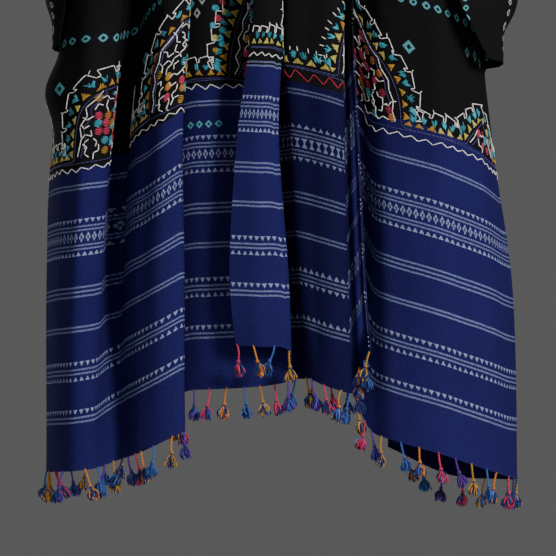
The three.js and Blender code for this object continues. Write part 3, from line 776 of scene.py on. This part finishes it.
def cloth_piece(name, points, weft, warp, border, slots, face):
    """A closed thin sheet over a grid of places; slots gives both sides' finishes by column."""
    rows, cols = points.shape[:2]
    normal = grid_normals(points)
    places = np.concatenate([
        (points + normal * CLOTH / 2).reshape(-1, 3),
        (points - normal * CLOTH / 2).reshape(-1, 3),
    ])
    number = np.arange(rows * cols).reshape(rows, cols)
    other = rows * cols
    a, b, c, d = number[:-1, :-1], number[:-1, 1:], number[1:, 1:], number[1:, :-1]
    front = np.stack([a, b, c, d], axis=-1).reshape(-1, 4)
    back = np.stack([a, d, c, b], axis=-1).reshape(-1, 4) + other

    def rim(line, flip):
        p, q = line[:-1], line[1:]
        quad = np.stack([p, p + other, q + other, q], axis=-1)
        return quad[:, ::-1] if flip else quad

    rims = np.concatenate([
        rim(number[0], False),
        rim(number[-1], True),
        rim(number[:, 0], True),
        rim(number[:, -1], False),
    ])
    faces = np.concatenate([front, back, rims])
    mesh = quad_mesh(name, places, faces, (face, reverse_side))
    coords = np.column_stack([weft.ravel(), warp.ravel()]) * MM
    coords = np.concatenate([coords, coords])
    uv = mesh.uv_layers.new(name="cloth")
    uv.data.foreach_set("uv", coords[faces.ravel()].astype(np.float32).ravel())
    edge = mesh.attributes.new("border", "FLOAT", "POINT")
    edge.data.foreach_set("value", np.tile(border.ravel(), 2).astype(np.float32))
    face_slots = [np.tile(slots[0], rows - 1), np.tile(slots[1], rows - 1), np.zeros(len(rims), int)]
    mesh.polygons.foreach_set("material_index", np.concatenate(face_slots).astype(np.int32))
    piece = placed(mesh)
    bpy.ops.object.select_all(action="DESELECT")
    piece.select_set(True)
    bpy.context.view_layer.objects.active = piece
    bpy.ops.object.shade_smooth_by_angle(angle=math.radians(SMOOTH_ANGLE))
    return piece


def relieved(points, relief):
    """The grid moved along its normals by the relief."""
    return points + grid_normals(points) * relief[..., None]


def run_along(points, axis):
    """Distance along the grid lines from their start."""
    steps = np.linalg.norm(np.diff(points, axis=axis), axis=2)
    start = np.zeros_like(np.take(steps, [0], axis=axis))
    return np.concatenate([start, np.cumsum(steps, axis=axis)], axis=axis)


def end_grid(end, columns):
    """Fold numbers and heights of a grid with even spacing over an end."""
    c = np.interp(np.linspace(0, end.width, columns + 1), end.weft, end.fine)
    v = np.concatenate([
        np.linspace(i, i + 1, share + 1)[: None if i == LAST_SECTION - 1 else -1]
        for i, share in enumerate(END_ROWS)
    ])
    return np.meshgrid(c, v)


def end_piece(end, name, flipped_until, seed, face):
    """One hanging end as one sheet; the columns before flipped_until show their other side."""
    columns = int(end.width / GRID_STEP)
    grid_c, grid_v = end_grid(end, columns)
    points = end.at(grid_c.ravel(), grid_v.ravel()).reshape(*grid_c.shape, 3)
    warp = run_along(points, axis=0)
    weft = np.interp(grid_c, end.fine, end.weft)
    ease = smoothstep(grid_v, *EASE_IN) * (1 - smoothstep(grid_v, *EASE_OUT))
    relief = creases(weft, warp, seed) + troughs(weft, end.cloth["troughs"])
    points = relieved(points, relief * ease)
    tall = smoothstep(warp, *HOLLOWS_GROW) * (1 - HOLLOWS_LOSS * smoothstep(warp, *HOLLOWS_FADE))
    points = relieved(points, troughs(weft, end.cloth["hollows"]) * tall * ease)
    points[..., 1] += end.cloth["margin_back"] * (1 - smoothstep(weft, *MARGIN_BEND)) * ease
    pattern = warp - end.column("lift", grid_c) * smoothstep(warp, *LIFT_GROWS)
    pattern = pattern * np.interp(weft, *end.cloth["take_up"])
    flipped = (grid_c[0, :-1] + grid_c[0, 1:]) / 2 < flipped_until
    seen = 1 if end.side < 0 else 0
    first = np.where(flipped, 1 - seen, seen)
    border = pattern - np.interp(weft, *end.cloth["border"]) + np.interp(weft, *end.cloth["overlap"])
    end.grid = {"points": points, "pattern": pattern, "columns": columns}
    return cloth_piece(name, points, weft, pattern, border, (first, 1 - first), face)


right_sheet = end_piece(right_end, "right_end_sheet", right_end.fold("strip fold, edge"), 0.7, right_face)
left_sheet = end_piece(left_end, "left_end_sheet", -1, 2.1, left_face)

BACK_GRID = (300, 150)
BACK_WARP = 1560
ALL_BLACK = 200.0


def back_piece():
    """The back and both arm drapes as one black sheet, with its rows of dots down the back."""
    columns, rows = BACK_GRID
    index, level = np.meshgrid(
        np.linspace(0, 2 * SIDE_COLUMNS, columns + 1), np.linspace(0, LAST_LEVEL, rows + 1)
    )
    points = drape(index.ravel(), level.ravel()).reshape(*index.shape, 3)
    weft = run_along(points, axis=0)
    run = run_along(points, axis=1)
    from_middle = np.abs(run - run[:, columns // 2 : columns // 2 + 1])
    relief = (0.6 + creases(from_middle, weft, 0.4)) * smoothstep(level, 0.3, 2)
    points = relieved(points, relief)
    first = np.ones(columns, int)
    border = np.full(weft.shape, ALL_BLACK)
    return cloth_piece(
        "back_sheet", points, weft, BACK_WARP - from_middle, border, (first, 1 - first), left_face
    )


back_sheet = back_piece()

# ---------------------------------------------------------------- places on the cloth


def on_cloth(end, weft, warp):
    """Places and outward normals on an end's seen side, by weft and warp."""
    points, pattern = end.grid["points"], end.grid["pattern"]
    normal = grid_normals(points)
    column = np.clip(weft / end.width * end.grid["columns"], 0, points.shape[1] - 1.001)
    i = np.floor(column).astype(int)
    f = (column - i)[None, :]
    heights = pattern[:, i] * (1 - f) + pattern[:, i + 1] * f
    r = np.clip(np.sum(heights <= warp[None, :], axis=0) - 1, 0, len(points) - 2)
    n = np.arange(len(weft))
    g = np.clip((warp - heights[r, n]) / np.maximum(heights[r + 1, n] - heights[r, n], 1e-6), 0, 1)
    f, g = f[0][:, None], g[:, None]

    def pick(grid):
        low = grid[r, i] * (1 - f) + grid[r, i + 1] * f
        high = grid[r + 1, i] * (1 - f) + grid[r + 1, i + 1] * f
        return low * (1 - g) + high * g

    side = end.side * np.where(weft < end.turn_weft, -1, 1)
    return pick(points), unit(pick(normal)) * side[:, None]


# ---------------------------------------------------------------- threads

WHITE = (0.93, 0.91, 0.86)
YELLOW = (0.55, 0.46, 0.10)
OCHRE = (0.50, 0.25, 0.03)
ORANGE = (0.62, 0.21, 0.035)
CYAN = (0.05, 0.38, 0.48)
VIOLET = (0.07, 0.055, 0.22)
PINK = (0.62, 0.035, 0.11)
RED = (0.38, 0.014, 0.045)
BLUE_YARN = (0.045, 0.12, 0.42)
PURPLE = (0.11, 0.02, 0.28)
NAVY = (0.015, 0.030, 0.13)


def thread_finish(name, roughness):
    """Yarn in the colours of the mesh's own attribute, shaded along its strands."""
    paint = Paint(name, roughness, sheen=0.15, specular=0.25)
    colour = paint.node("ShaderNodeAttribute", {"attribute_name": "thread"})
    place = paint.node("ShaderNodeTexCoord", {}, output="Object")
    strand = paint.noise(place, 900.0, detail=2.0)
    shade = paint.blend(strand, (0.6, 0.6, 0.6), (1.25, 1.25, 1.25))
    paint.feed("Base Color", paint.blend(1.0, colour, shade, kind="MULTIPLY"))
    paint.bump(strand, distance=0.0004, strength=0.5)
    return paint.material


stitch_finish = thread_finish("embroidery_thread", 0.7)
yarn_finish = thread_finish("tassel_yarn", 0.8)


def threads_piece(name, places, faces, colours, finish):
    mesh = quad_mesh(name, places, faces, (finish,))
    mesh.polygons.foreach_set("use_smooth", np.ones(len(faces), bool))
    thread = mesh.attributes.new("thread", "FLOAT_COLOR", "POINT")
    rgba = np.column_stack([colours, np.ones(len(colours))])
    thread.data.foreach_set("color", rgba.astype(np.float32).ravel())
    return placed(mesh)


SIDES = 4


def strands(paths, normals, widths, heights, colours):
    """Closed four-sided tubes along paths of (count, stations, 3), with half widths and heights."""
    count, stations = paths.shape[:2]
    along = unit(np.gradient(paths, axis=1))
    across = unit(np.cross(along, normals))
    up = unit(np.cross(across, along))
    angles = np.arange(SIDES) * 2 * math.pi / SIDES + math.pi / SIDES
    ring = (
        across[:, :, None] * (widths[:, :, None] * np.cos(angles))[..., None]
        + up[:, :, None] * (heights[:, :, None] * np.sin(angles))[..., None]
    )
    places = (paths[:, :, None] + ring).reshape(-1, 3)
    k = np.arange(SIDES)
    s = np.arange(stations - 1)
    a = s[:, None] * SIDES + k
    b = s[:, None] * SIDES + (k + 1) % SIDES
    tube = np.stack([a, b, b + SIDES, a + SIDES], axis=-1).reshape(-1, SIDES)
    last = (stations - 1) * SIDES
    caps = np.array([k[::-1], last + k])
    one = np.concatenate([tube, caps])
    faces = (one[None] + (np.arange(count) * stations * SIDES)[:, None, None]).reshape(-1, SIDES)
    return places, faces, np.repeat(colours, stations * SIDES, axis=0)


# ---------------------------------------------------------------- embroidered border

STITCH = 5.0
OVERLAP = 0.15
SATIN_HALF = 0.95
SATIN_ROWS = 8
EDGE_CLEAR = 1.5
# Along one stitch: shares of its length, and its rise and swell there.
STITCH_SHARES = np.array([0.0, 0.22, 0.78, 1.0])
STITCH_RISE = np.array([0.15, 0.75, 0.75, 0.15])
STITCH_SWELL = np.array([0.4, 1.0, 1.0, 0.4])
STITCH_FLATNESS = 0.75


class Needlework:
    """Straight stitches on an end, kept as weft and warp of both ends, half width and colour.

    The weft between the two values of bare gets no stitches.
    """

    def __init__(self, end, seed, bare):
        self.end = end
        self.bare = bare
        self.random = np.random.default_rng(seed)
        self.rows = []

    def stitch(self, a, b, half, colour):
        """One stitch from a to b, each a weft and a warp."""
        low, high = self.bare
        if low < (a[0] + b[0]) / 2 < high:
            return
        shade = 1 + 0.45 * (self.random.random() - 0.5)
        self.rows.append([*a, *b, half, *scaled(colour, shade)])

    def line(self, points, colour, half):
        """Chain stitches along straight runs between points, with sharp corners."""
        for a, b in zip(np.asarray(points[:-1], float), np.asarray(points[1:], float)):
            length = np.linalg.norm(b - a)
            count = max(1, round(length / STITCH))
            for i in range(count):
                low, high = max(0, (i - OVERLAP) / count), min(1, (i + 1 + OVERLAP) / count)
                self.stitch(a + (b - a) * low, a + (b - a) * high, half, colour)

    def filled(self, corners, colour):
        """A triangle filled with stitches that run from its base, corners 0 and 1, towards corner 2."""
        a, b, c = (np.asarray(p, float) for p in corners)
        for i in range(SATIN_ROWS):
            share = (i + 0.5) / SATIN_ROWS
            base = a + (b - a) * share
            reach = 1 - abs(2 * share - 1)
            tip = base + (c - (a + b) / 2) * max(0.16, reach)
            self.stitch(base, tip + self.random.normal(0, 0.3, 2), SATIN_HALF, colour)

    def blob(self, centre, radius, colour, angle):
        """A round spot of five satin stitches."""
        direction = np.array([math.cos(angle), math.sin(angle)])
        side = np.array([-direction[1], direction[0]])
        for i in range(-2, 3):
            reach = direction * (radius * math.sqrt(max(0.12, 1 - (i / 2.6) ** 2)))
            middle = np.asarray(centre) + side * i * radius * 0.38
            self.stitch(middle - reach, middle + reach, SATIN_HALF, colour)

    def piece(self, name):
        rows = np.array(self.rows)
        low, high = rows[:, [0, 2]].min(axis=1), rows[:, [0, 2]].max(axis=1)
        rows = rows[(low > EDGE_CLEAR) & (high < self.end.width - EDGE_CLEAR)]
        count = len(rows)
        weft = rows[:, 0:1] + (rows[:, 2:3] - rows[:, 0:1]) * STITCH_SHARES
        warp = rows[:, 1:2] + (rows[:, 3:4] - rows[:, 1:2]) * STITCH_SHARES
        place, normal = on_cloth(self.end, weft.ravel(), warp.ravel())
        place, normal = place.reshape(count, -1, 3), normal.reshape(count, -1, 3)
        half = rows[:, 4:5]
        place = place + normal * (STITCH_RISE * half + CLOTH / 2)[..., None]
        widths = half * STITCH_SWELL
        tubes = strands(place, normal, widths, widths * STITCH_FLATNESS, rows[:, 5:8])
        return threads_piece(name, *tubes, stitch_finish)


def border_level(end, weft):
    """The level of the line under the triangles, without the arches."""
    return float(np.interp(weft, *end.cloth["border"]))


PATH_STEP = 3.0


def arch_side(arch, count=25):
    """Heights and half widths of an arch from its foot to its peak."""
    _, half, height, fullness, rounding = arch
    share = np.linspace(0, 1, count) ** (1 if rounding == 1 else 0.7)
    return height * share, half * (1 - share**fullness) ** rounding


def border_path(end, arches):
    """The line under the triangles over the weft: level, and up and over each arch."""
    path = []
    previous = PATH_STEP
    for arch in arches:
        centre, half = arch[:2]
        up, across = arch_side(arch)
        path += [(weft, 0.0) for weft in np.arange(previous, centre - half, PATH_STEP)]
        path += list(zip(centre - across, up))
        path += list(zip((centre + across)[::-1], up[::-1]))
        previous = centre + half
    path += [(weft, 0.0) for weft in np.arange(previous, end.width - 2, PATH_STEP)]
    path = np.array(path)
    path[:, 1] += np.interp(path[:, 0], *end.cloth["border"])
    return path


class Track:
    """A path with places at a distance along it and away from it."""

    def __init__(self, points):
        steps = np.linalg.norm(np.diff(points, axis=0), axis=1)
        self.points = points[np.concatenate([[True], steps > 1e-3])]
        steps = np.linalg.norm(np.diff(self.points, axis=0), axis=1)
        self.run = np.concatenate([[0], np.cumsum(steps)])
        self.length = self.run[-1]
        window = np.ones(5) / 5
        padded = np.pad(np.gradient(self.points, axis=0), ((2, 2), (0, 0)), mode="edge")
        self.tangent = np.column_stack([np.convolve(padded[:, i], window, "valid") for i in (0, 1)])

    def at(self, distance, away=0.0):
        place = np.array([np.interp(distance, self.run, self.points[:, i]) for i in (0, 1)])
        tangent = np.array([np.interp(distance, self.run, self.tangent[:, i]) for i in (0, 1)])
        tangent /= max(np.linalg.norm(tangent), 1e-6)
        return place + np.array([-tangent[1], tangent[0]]) * away


TRIANGLE_STEP = 16.0
OUTER_STEP = 21.0
ZIGZAG_STEP = 19.5
TUFT_STITCHES = 8
# Distances out from the track: feet of the triangles, the outer line, tips and spurs.
FOOT = 1.5
OUTER_LOW, OUTER_HIGH, OUTER_FAR = 18.5, 27.5, 24.5
TIP_LOW, TIP_HIGH = 18.0, 23.5
SPUR_LOW, SPUR_HIGH = 26.0, 31.0
LINE_HALF, FINE_HALF = 0.8, 0.65


def triangle(work, track, d):
    """A satin triangle at a distance along the track."""
    warm = YELLOW if math.sin(d * 0.023 + 1) > -0.1 else OCHRE
    d += work.random.normal(0, 1.1)
    wide = work.random.uniform(8.5, 12.5)
    tip = track.at(d + wide * work.random.uniform(0.25, 0.75), work.random.uniform(8.5, 12))
    far_foot = track.at(d + wide, FOOT + work.random.normal(0, 0.5))
    work.filled((track.at(d, FOOT), far_foot, tip), warm)
    return d


def tuft(work, track, d):
    """A loose tuft between the tips of two triangles."""
    random = work.random
    cool = scaled(CYAN, random.uniform(0.45, 1.15))
    start = d + 8.0 + random.normal(0, 1.3)
    for _ in range(TUFT_STITCHES):
        low = track.at(start + random.uniform(1, 6), random.uniform(7.5, 12))
        high = track.at(start + random.uniform(-1, 10), random.uniform(13.5, 19))
        work.stitch(low, high, 1.0, cool)


def motif_band(work, track, tips_until):
    """Satin triangles, tufts and the stepped outer line; single tips stand in for it at first."""
    random = work.random
    for d in np.arange(3, track.length - 14, TRIANGLE_STEP):
        tuft(work, track, triangle(work, track, d))
    outer = []
    for d in np.arange(2, track.length - OUTER_STEP, OUTER_STEP):
        rough = random.normal(0, 0.9, 4)
        if track.at(d)[0] < tips_until:
            for start in (d, d + 12.0):
                tip = track.at(start + rough[0], TIP_HIGH + rough[1])
                work.line([track.at(start, TIP_LOW), tip], WHITE, LINE_HALF)
            continue
        outer += [
            track.at(d, OUTER_LOW + rough[0]),
            track.at(d + 3.5 + rough[3], OUTER_HIGH + rough[1]),
            track.at(d + 19.0, OUTER_FAR + 1.5 * rough[2]),
            track.at(d + 17.0 + rough[0], OUTER_LOW + rough[3]),
        ]
        if random.random() < 0.45:
            spur = track.at(d + 3.5, SPUR_LOW + rough[1])
            work.line([spur, track.at(d + 1.5 + rough[2], SPUR_HIGH)], WHITE, LINE_HALF)
    if len(outer) > 1:
        work.line(outer, WHITE, 0.82)
    work.line([track.at(d, -3.0) for d in np.arange(2, track.length, STITCH)], VIOLET, 0.7)


def hook(work, spot, size):
    """A white hook of two or three straight strokes round a spot."""
    random = work.random
    angle = random.uniform(0, 2 * math.pi)
    points = [np.asarray(spot, float)]
    for turn in (0, 1.1, -1.4)[: random.integers(2, 4)]:
        angle += turn + random.normal(0, 0.25)
        reach = size * random.uniform(0.7, 1.1)
        points.append(points[-1] + reach * np.array([math.cos(angle), math.sin(angle)]))
    middle = np.mean(points, axis=0)
    work.line([p - middle + spot for p in points], WHITE, 0.9)


ARCH_INSET = 12
ROW_STEP = 11.5
SPOT_STEP = 12.5
HOOK_SHARE = 0.58
SATIN = (PINK, CYAN, RED, OCHRE, PINK, ORANGE)
LEAF_TURNS = (0.5, 1.1, 1.7)
LEAF_REACH = 6.5


def arch_lines(work, end, arch):
    """An uneven white line and a fine violet one inside each side of an arch."""
    centre, height = arch[0], arch[2]
    up, across = arch_side(arch, count=max(5, round(height / 12)))
    for side in (-1, 1):
        line = []
        for i, (y, x) in enumerate(zip(up, across)):
            inset = ARCH_INSET + (2.2 if i % 2 else -2.2) + work.random.normal(0, 0.5)
            if x > inset + 2 or i == 0:
                weft = centre + side * (x - inset)
                line.append((weft, border_level(end, weft) + y + 3))
        if len(line) > 1:
            work.line(line, WHITE, 0.85)
            work.line([(x - side * 5, y - 2) for x, y in line], VIOLET, FINE_HALF)


def arch_flowers(work, end, arch):
    """A stem of satin flowers and leaves up the middle of an arch, with hooks and spots beside it."""
    random = work.random
    middle, half, height, fullness, rounding = arch
    for row, y in enumerate(np.arange(9, height - 12, ROW_STEP)):
        room = half * (1 - (y / height) ** fullness) ** rounding - 19
        if room < 0:
            break
        base = border_level(end, middle) + y
        side = 1 if row % 2 else -1
        x = side * min(room, 7) * random.uniform(0.4, 1.0)
        satin = SATIN[row % 6]
        if row % 3 < 2:
            work.blob((middle + x, base), random.uniform(4.6, 6.2), satin, random.uniform(-0.5, 1.4))
        leaf = np.array([middle - x * 0.6, base + 3])
        leaf_colour = SATIN[(row + 1) % 6] if row % 2 else CYAN
        for turn in LEAF_TURNS:
            reach = LEAF_REACH * np.array([math.cos(turn * side), abs(math.sin(turn))])
            work.stitch(leaf, leaf + reach, SATIN_HALF, leaf_colour)
        for away in np.arange(14, room + 4, SPOT_STEP):
            for way in (-1, 1):
                spot = (middle + way * away + random.normal(0, 1.2), base + random.normal(0, 1.8))
                if random.random() < HOOK_SHARE:
                    hook(work, spot, 9.0)
                else:
                    work.blob(spot, 5.6, SATIN[random.integers(0, 6)], random.uniform(-0.4, 0.7))
        if room < 13:
            hook(work, (middle - side * 5, base + 2), 7.0)


# The zigzag's drop below the border, and the height of its swing.
ZIGZAG_DROP = 13.5
RED_SWING, WHITE_SWING = 6.0, 3.0
FINE_DROP = 5.0


def embroider(end, arches, seed, bare, red_until=0.0):
    """The whole border of an end; as far as red_until its zigzag is red and its outer line is tips."""
    work = Needlework(end, seed, bare)
    motif_band(work, Track(border_path(end, arches)), red_until)
    for arch in arches:
        arch_lines(work, end, arch)
        arch_flowers(work, end, arch)
    for start in np.arange(3, end.width - ZIGZAG_STEP, ZIGZAG_STEP):
        red = start < red_until
        swing = RED_SWING if red else WHITE_SWING
        places = []
        for share, rise in ((0, -1), (0.62, 1), (1.0, -1)):
            weft = start + share * ZIGZAG_STEP
            uneven = 1.1 * math.sin(weft * 1.7) + 0.6 * math.sin(weft * 0.31)
            level = border_level(end, weft) - ZIGZAG_DROP + swing * rise + uneven
            places.append((weft + uneven, level))
        work.line(places, RED if red else WHITE, 1.0 if red else 0.82)
    fine = np.arange(3, end.width - 3, 6.0)
    places = [(weft, border_level(end, weft) - FINE_DROP + 0.8 * math.sin(weft)) for weft in fine]
    work.line(places, VIOLET, FINE_HALF)
    return work


# Arches of the border: middle, half width, height, fullness and rounding.
RIGHT_ARCHES = [
    (148, 40, 140, 2.2, 1), (352, 78, 116, 3.7, 1), (575, 60, 97, 3, 0.5), (790, 60, 110, 1.8, 1),
]
LEFT_ARCHES = [
    (45, 58, 125, 2.2, 1), (300, 94, 136, 2.7, 1), (534, 47, 46, 1.3, 1), (710, 60, 110, 1.8, 1),
]

# Flowers up the side of the first arch: weft, warp, radius and colour.
GARLAND = [
    (199, 560, 5.5, PINK), (190, 554, 5.5, RED), (206, 549, 5.0, RED), (198, 544, 4.0, OCHRE),
    (188, 540, 5.5, PINK), (205, 535, 5.0, CYAN), (194, 528, 5.0, RED), (203, 519, 5.0, CYAN),
    (191, 514, 4.5, YELLOW), (200, 505, 5.0, PINK), (207, 495, 4.5, CYAN), (194, 489, 5.0, CYAN),
    (204, 478, 4.5, YELLOW), (195, 470, 4.5, CYAN), (203, 461, 4.0, OCHRE),
]

# The bottom of the deep fold is left without stitches, which paints shade into it; the turned-back margin
# is bare.
right_work = embroider(right_end, RIGHT_ARCHES, 11, bare=(502, 545))
left_work = embroider(left_end, LEFT_ARCHES, 12, bare=(4, 68), red_until=172)

# Edge stitches up the lapel's selvedge: groups of white ones, and fine pale ones between them.
SELVEDGE_WEFT = 2.2
SELVEDGE_TOP = 520
EDGE_STEP = 6.0
GROUP_EVERY, GROUP_LONG = 62, 22
EDGE_PALE = (0.20, 0.23, 0.42)
for warp in np.arange(6, SELVEDGE_TOP, EDGE_STEP):
    start = (SELVEDGE_WEFT, warp)
    if warp % GROUP_EVERY < GROUP_LONG:
        left_work.stitch(start, (2.6, warp + 3.2 + math.sin(warp)), 0.6, WHITE)
    else:
        left_work.stitch(start, (2.4, warp + 6.5), 0.4, EDGE_PALE)
for weft, warp, radius, colour in GARLAND:
    right_work.blob((weft, warp), radius, colour, weft)
right_stitches = right_work.piece("right_end_embroidery")
left_stitches = left_work.piece("left_end_embroidery")

# ---------------------------------------------------------------- tassels

# Weft place and colour of each tassel.
RIGHT_TASSELS = [
    (2, PINK), (27, ORANGE), (58, BLUE_YARN), (80, OCHRE), (106, PURPLE), (128, PINK),
    (148, OCHRE), (167, BLUE_YARN), (190, ORANGE), (213, PINK), (236, PURPLE), (253, OCHRE),
    (278, BLUE_YARN), (303, ORANGE), (325, PINK), (350, PURPLE), (379, OCHRE), (407, BLUE_YARN),
    (434, ORANGE), (450, PINK), (480, PURPLE), (500, NAVY), (521, OCHRE), (545, PURPLE),
    (568, BLUE_YARN), (600, ORANGE), (640, PURPLE), (670, PINK), (698, OCHRE), (726, BLUE_YARN),
    (754, ORANGE), (782, PINK), (810, PURPLE), (838, OCHRE), (866, BLUE_YARN), (894, ORANGE),
]
LEFT_TASSELS = [
    (4, OCHRE), (18, BLUE_YARN), (30, ORANGE), (52, PURPLE), (75, BLUE_YARN), (105, ORANGE),
    (129, PINK), (156, PURPLE), (184, OCHRE), (210, BLUE_YARN), (238, ORANGE), (266, PINK),
    (292, PURPLE), (312, OCHRE), (328, PINK), (338, PURPLE), (357, OCHRE), (384, BLUE_YARN),
    (408, ORANGE), (433, PINK), (458, PURPLE), (485, OCHRE), (512, BLUE_YARN), (532, ORANGE),
    (565, PINK), (585, NAVY), (612, NAVY), (640, OCHRE), (670, NAVY), (707, OCHRE),
    (734, PINK), (762, PURPLE), (790, BLUE_YARN), (812, ORANGE),
]


CORD_LENGTH = (20, 24)
CORD_HALF = 1.05
PLY_RADIUS = 0.72
PLY_TURN = 8.5
# The knot's three turns of yarn: their place down the cord and their radius.
KNOT_TURNS = ((-1.6, 1.5), (0.2, 1.9), (2.0, 1.5))
KNOT_HALF = 1.15
BRUSH_STRANDS = 38
BRUSH_SPREAD = 8.6
BRUSH_REACH = (15, 21)
BRUSH_TAPER = np.linspace(1.15, 0.95, 6)


class Tassel:
    """One knotted tassel, kept as paths with their normals, half widths and colour."""

    def __init__(self, root, colour, random):
        lean = random.normal(0, 0.19), random.normal(-0.06, 0.05)
        self.down = unit(np.array([lean[0], lean[1], -1.0]))
        self.side = unit(np.cross(self.down, (0, 1, 0)))
        self.front = np.cross(self.side, self.down)
        self.colour = colour
        self.paths = []
        length = random.uniform(*CORD_LENGTH)
        self.cord(root, length, random.normal(0, 0.9))
        knot = root + self.down * (length + 1.0)
        self.knot(knot)
        for _ in range(BRUSH_STRANDS):
            self.brush_strand(knot + self.down * 1.5, random)

    def path(self, start, down, side, front):
        """Places away from a start, by distances down, sideways and forward."""
        return (
            start
            + self.down * down[:, None]
            + self.side * side[:, None]
            + self.front * front[:, None]
        )

    def cord(self, root, length, bend):
        """Two plies that turn round each other."""
        share = np.linspace(0, 1, 13)
        sway = bend * np.sin(share * math.pi)
        for ply in (0, math.pi):
            turn = ply + share * length / PLY_TURN * 2 * math.pi
            path = self.path(
                root, share * length, PLY_RADIUS * np.cos(turn) + sway, PLY_RADIUS * np.sin(turn)
            )
            self.paths.append((path, self.front, np.full(13, CORD_HALF), self.colour))

    def knot(self, middle):
        """Turns of yarn round the end of the cord, the last one dark."""
        angle = np.linspace(0, 2 * math.pi, 9)
        for level, radius in KNOT_TURNS:
            path = self.path(
                middle, level + 0.8 * np.sin(angle), radius * np.cos(angle), radius * np.sin(angle)
            )
            colour = self.colour if level < 1 else NAVY
            self.paths.append((path, self.down, np.full(9, KNOT_HALF), colour))

    def brush_strand(self, start, random):
        """One loose end of yarn, in the tassel's colour or a blue."""
        angle = random.uniform(0, 2 * math.pi)
        spread = BRUSH_SPREAD * math.sqrt(random.random())
        reach = random.uniform(*BRUSH_REACH) * (1 - 0.014 * spread**1.2)
        s = np.linspace(0, 1, 6)
        fan = spread * np.sin(s * math.pi * 0.62) ** 1.2
        curl = random.normal(0, 1.1, 2)
        path = self.path(
            start,
            reach * s,
            fan * math.cos(angle) + curl[0] * np.sin(s * 4.5),
            0.7 * fan * math.sin(angle) + curl[1] * np.sin(s * 4.5),
        )
        own = random.random() < 0.4
        shade = random.uniform(0.75, 1.35)
        tint = self.colour if own else (NAVY if random.random() < 0.8 else BLUE_YARN)
        self.paths.append((path, self.front, BRUSH_TAPER, scaled(tint, shade)))


def tassels(end, table, seed, name):
    """The row of tassels along the hem of an end."""
    random = np.random.default_rng(seed)
    tubes = []
    offset = 0
    for weft, colour in table:
        c = np.interp(weft, end.weft, end.fine)
        root = end.at(np.array([c]), np.array([0.0]))[0] + (0, 0, 1.5)
        for path, normal, half, tint in Tassel(root, colour, random).paths:
            normals = np.broadcast_to(normal, path.shape)[None]
            places, faces, tints = strands(path[None], normals, half[None], half[None], np.array([tint]))
            tubes.append((places, faces + offset, tints))
            offset += len(places)
    return threads_piece(name, *(np.concatenate(part) for part in zip(*tubes)), yarn_finish)


right_tassels = tassels(right_end, RIGHT_TASSELS, 21, "right_end_tassels")
left_tassels = tassels(left_end, LEFT_TASSELS, 22, "left_end_tassels")

# ---------------------------------------------------------------- the pieces on the root, and the solids hidden

sheets = (right_sheet, left_sheet, back_sheet)
for piece in (*sheets, right_stitches, left_stitches, right_tassels, left_tassels):
    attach(piece, "root")
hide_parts("back", "right_arm_drape", "left_arm_drape")
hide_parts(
    "right_front_strip", "right_inner_front", "right_outer_front", "right_side_wrap"
)
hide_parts("left_lapel", "left_under_lapel", "left_outer_front", "left_side_wrap")
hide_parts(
    "right_front_strip_fringe",
    "right_inner_front_fringe",
    "right_outer_front_fringe",
    "right_side_wrap_fringe",
)
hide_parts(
    "left_lapel_fringe",
    "left_under_lapel_fringe",
    "left_outer_front_fringe",
    "left_side_wrap_fringe",
)
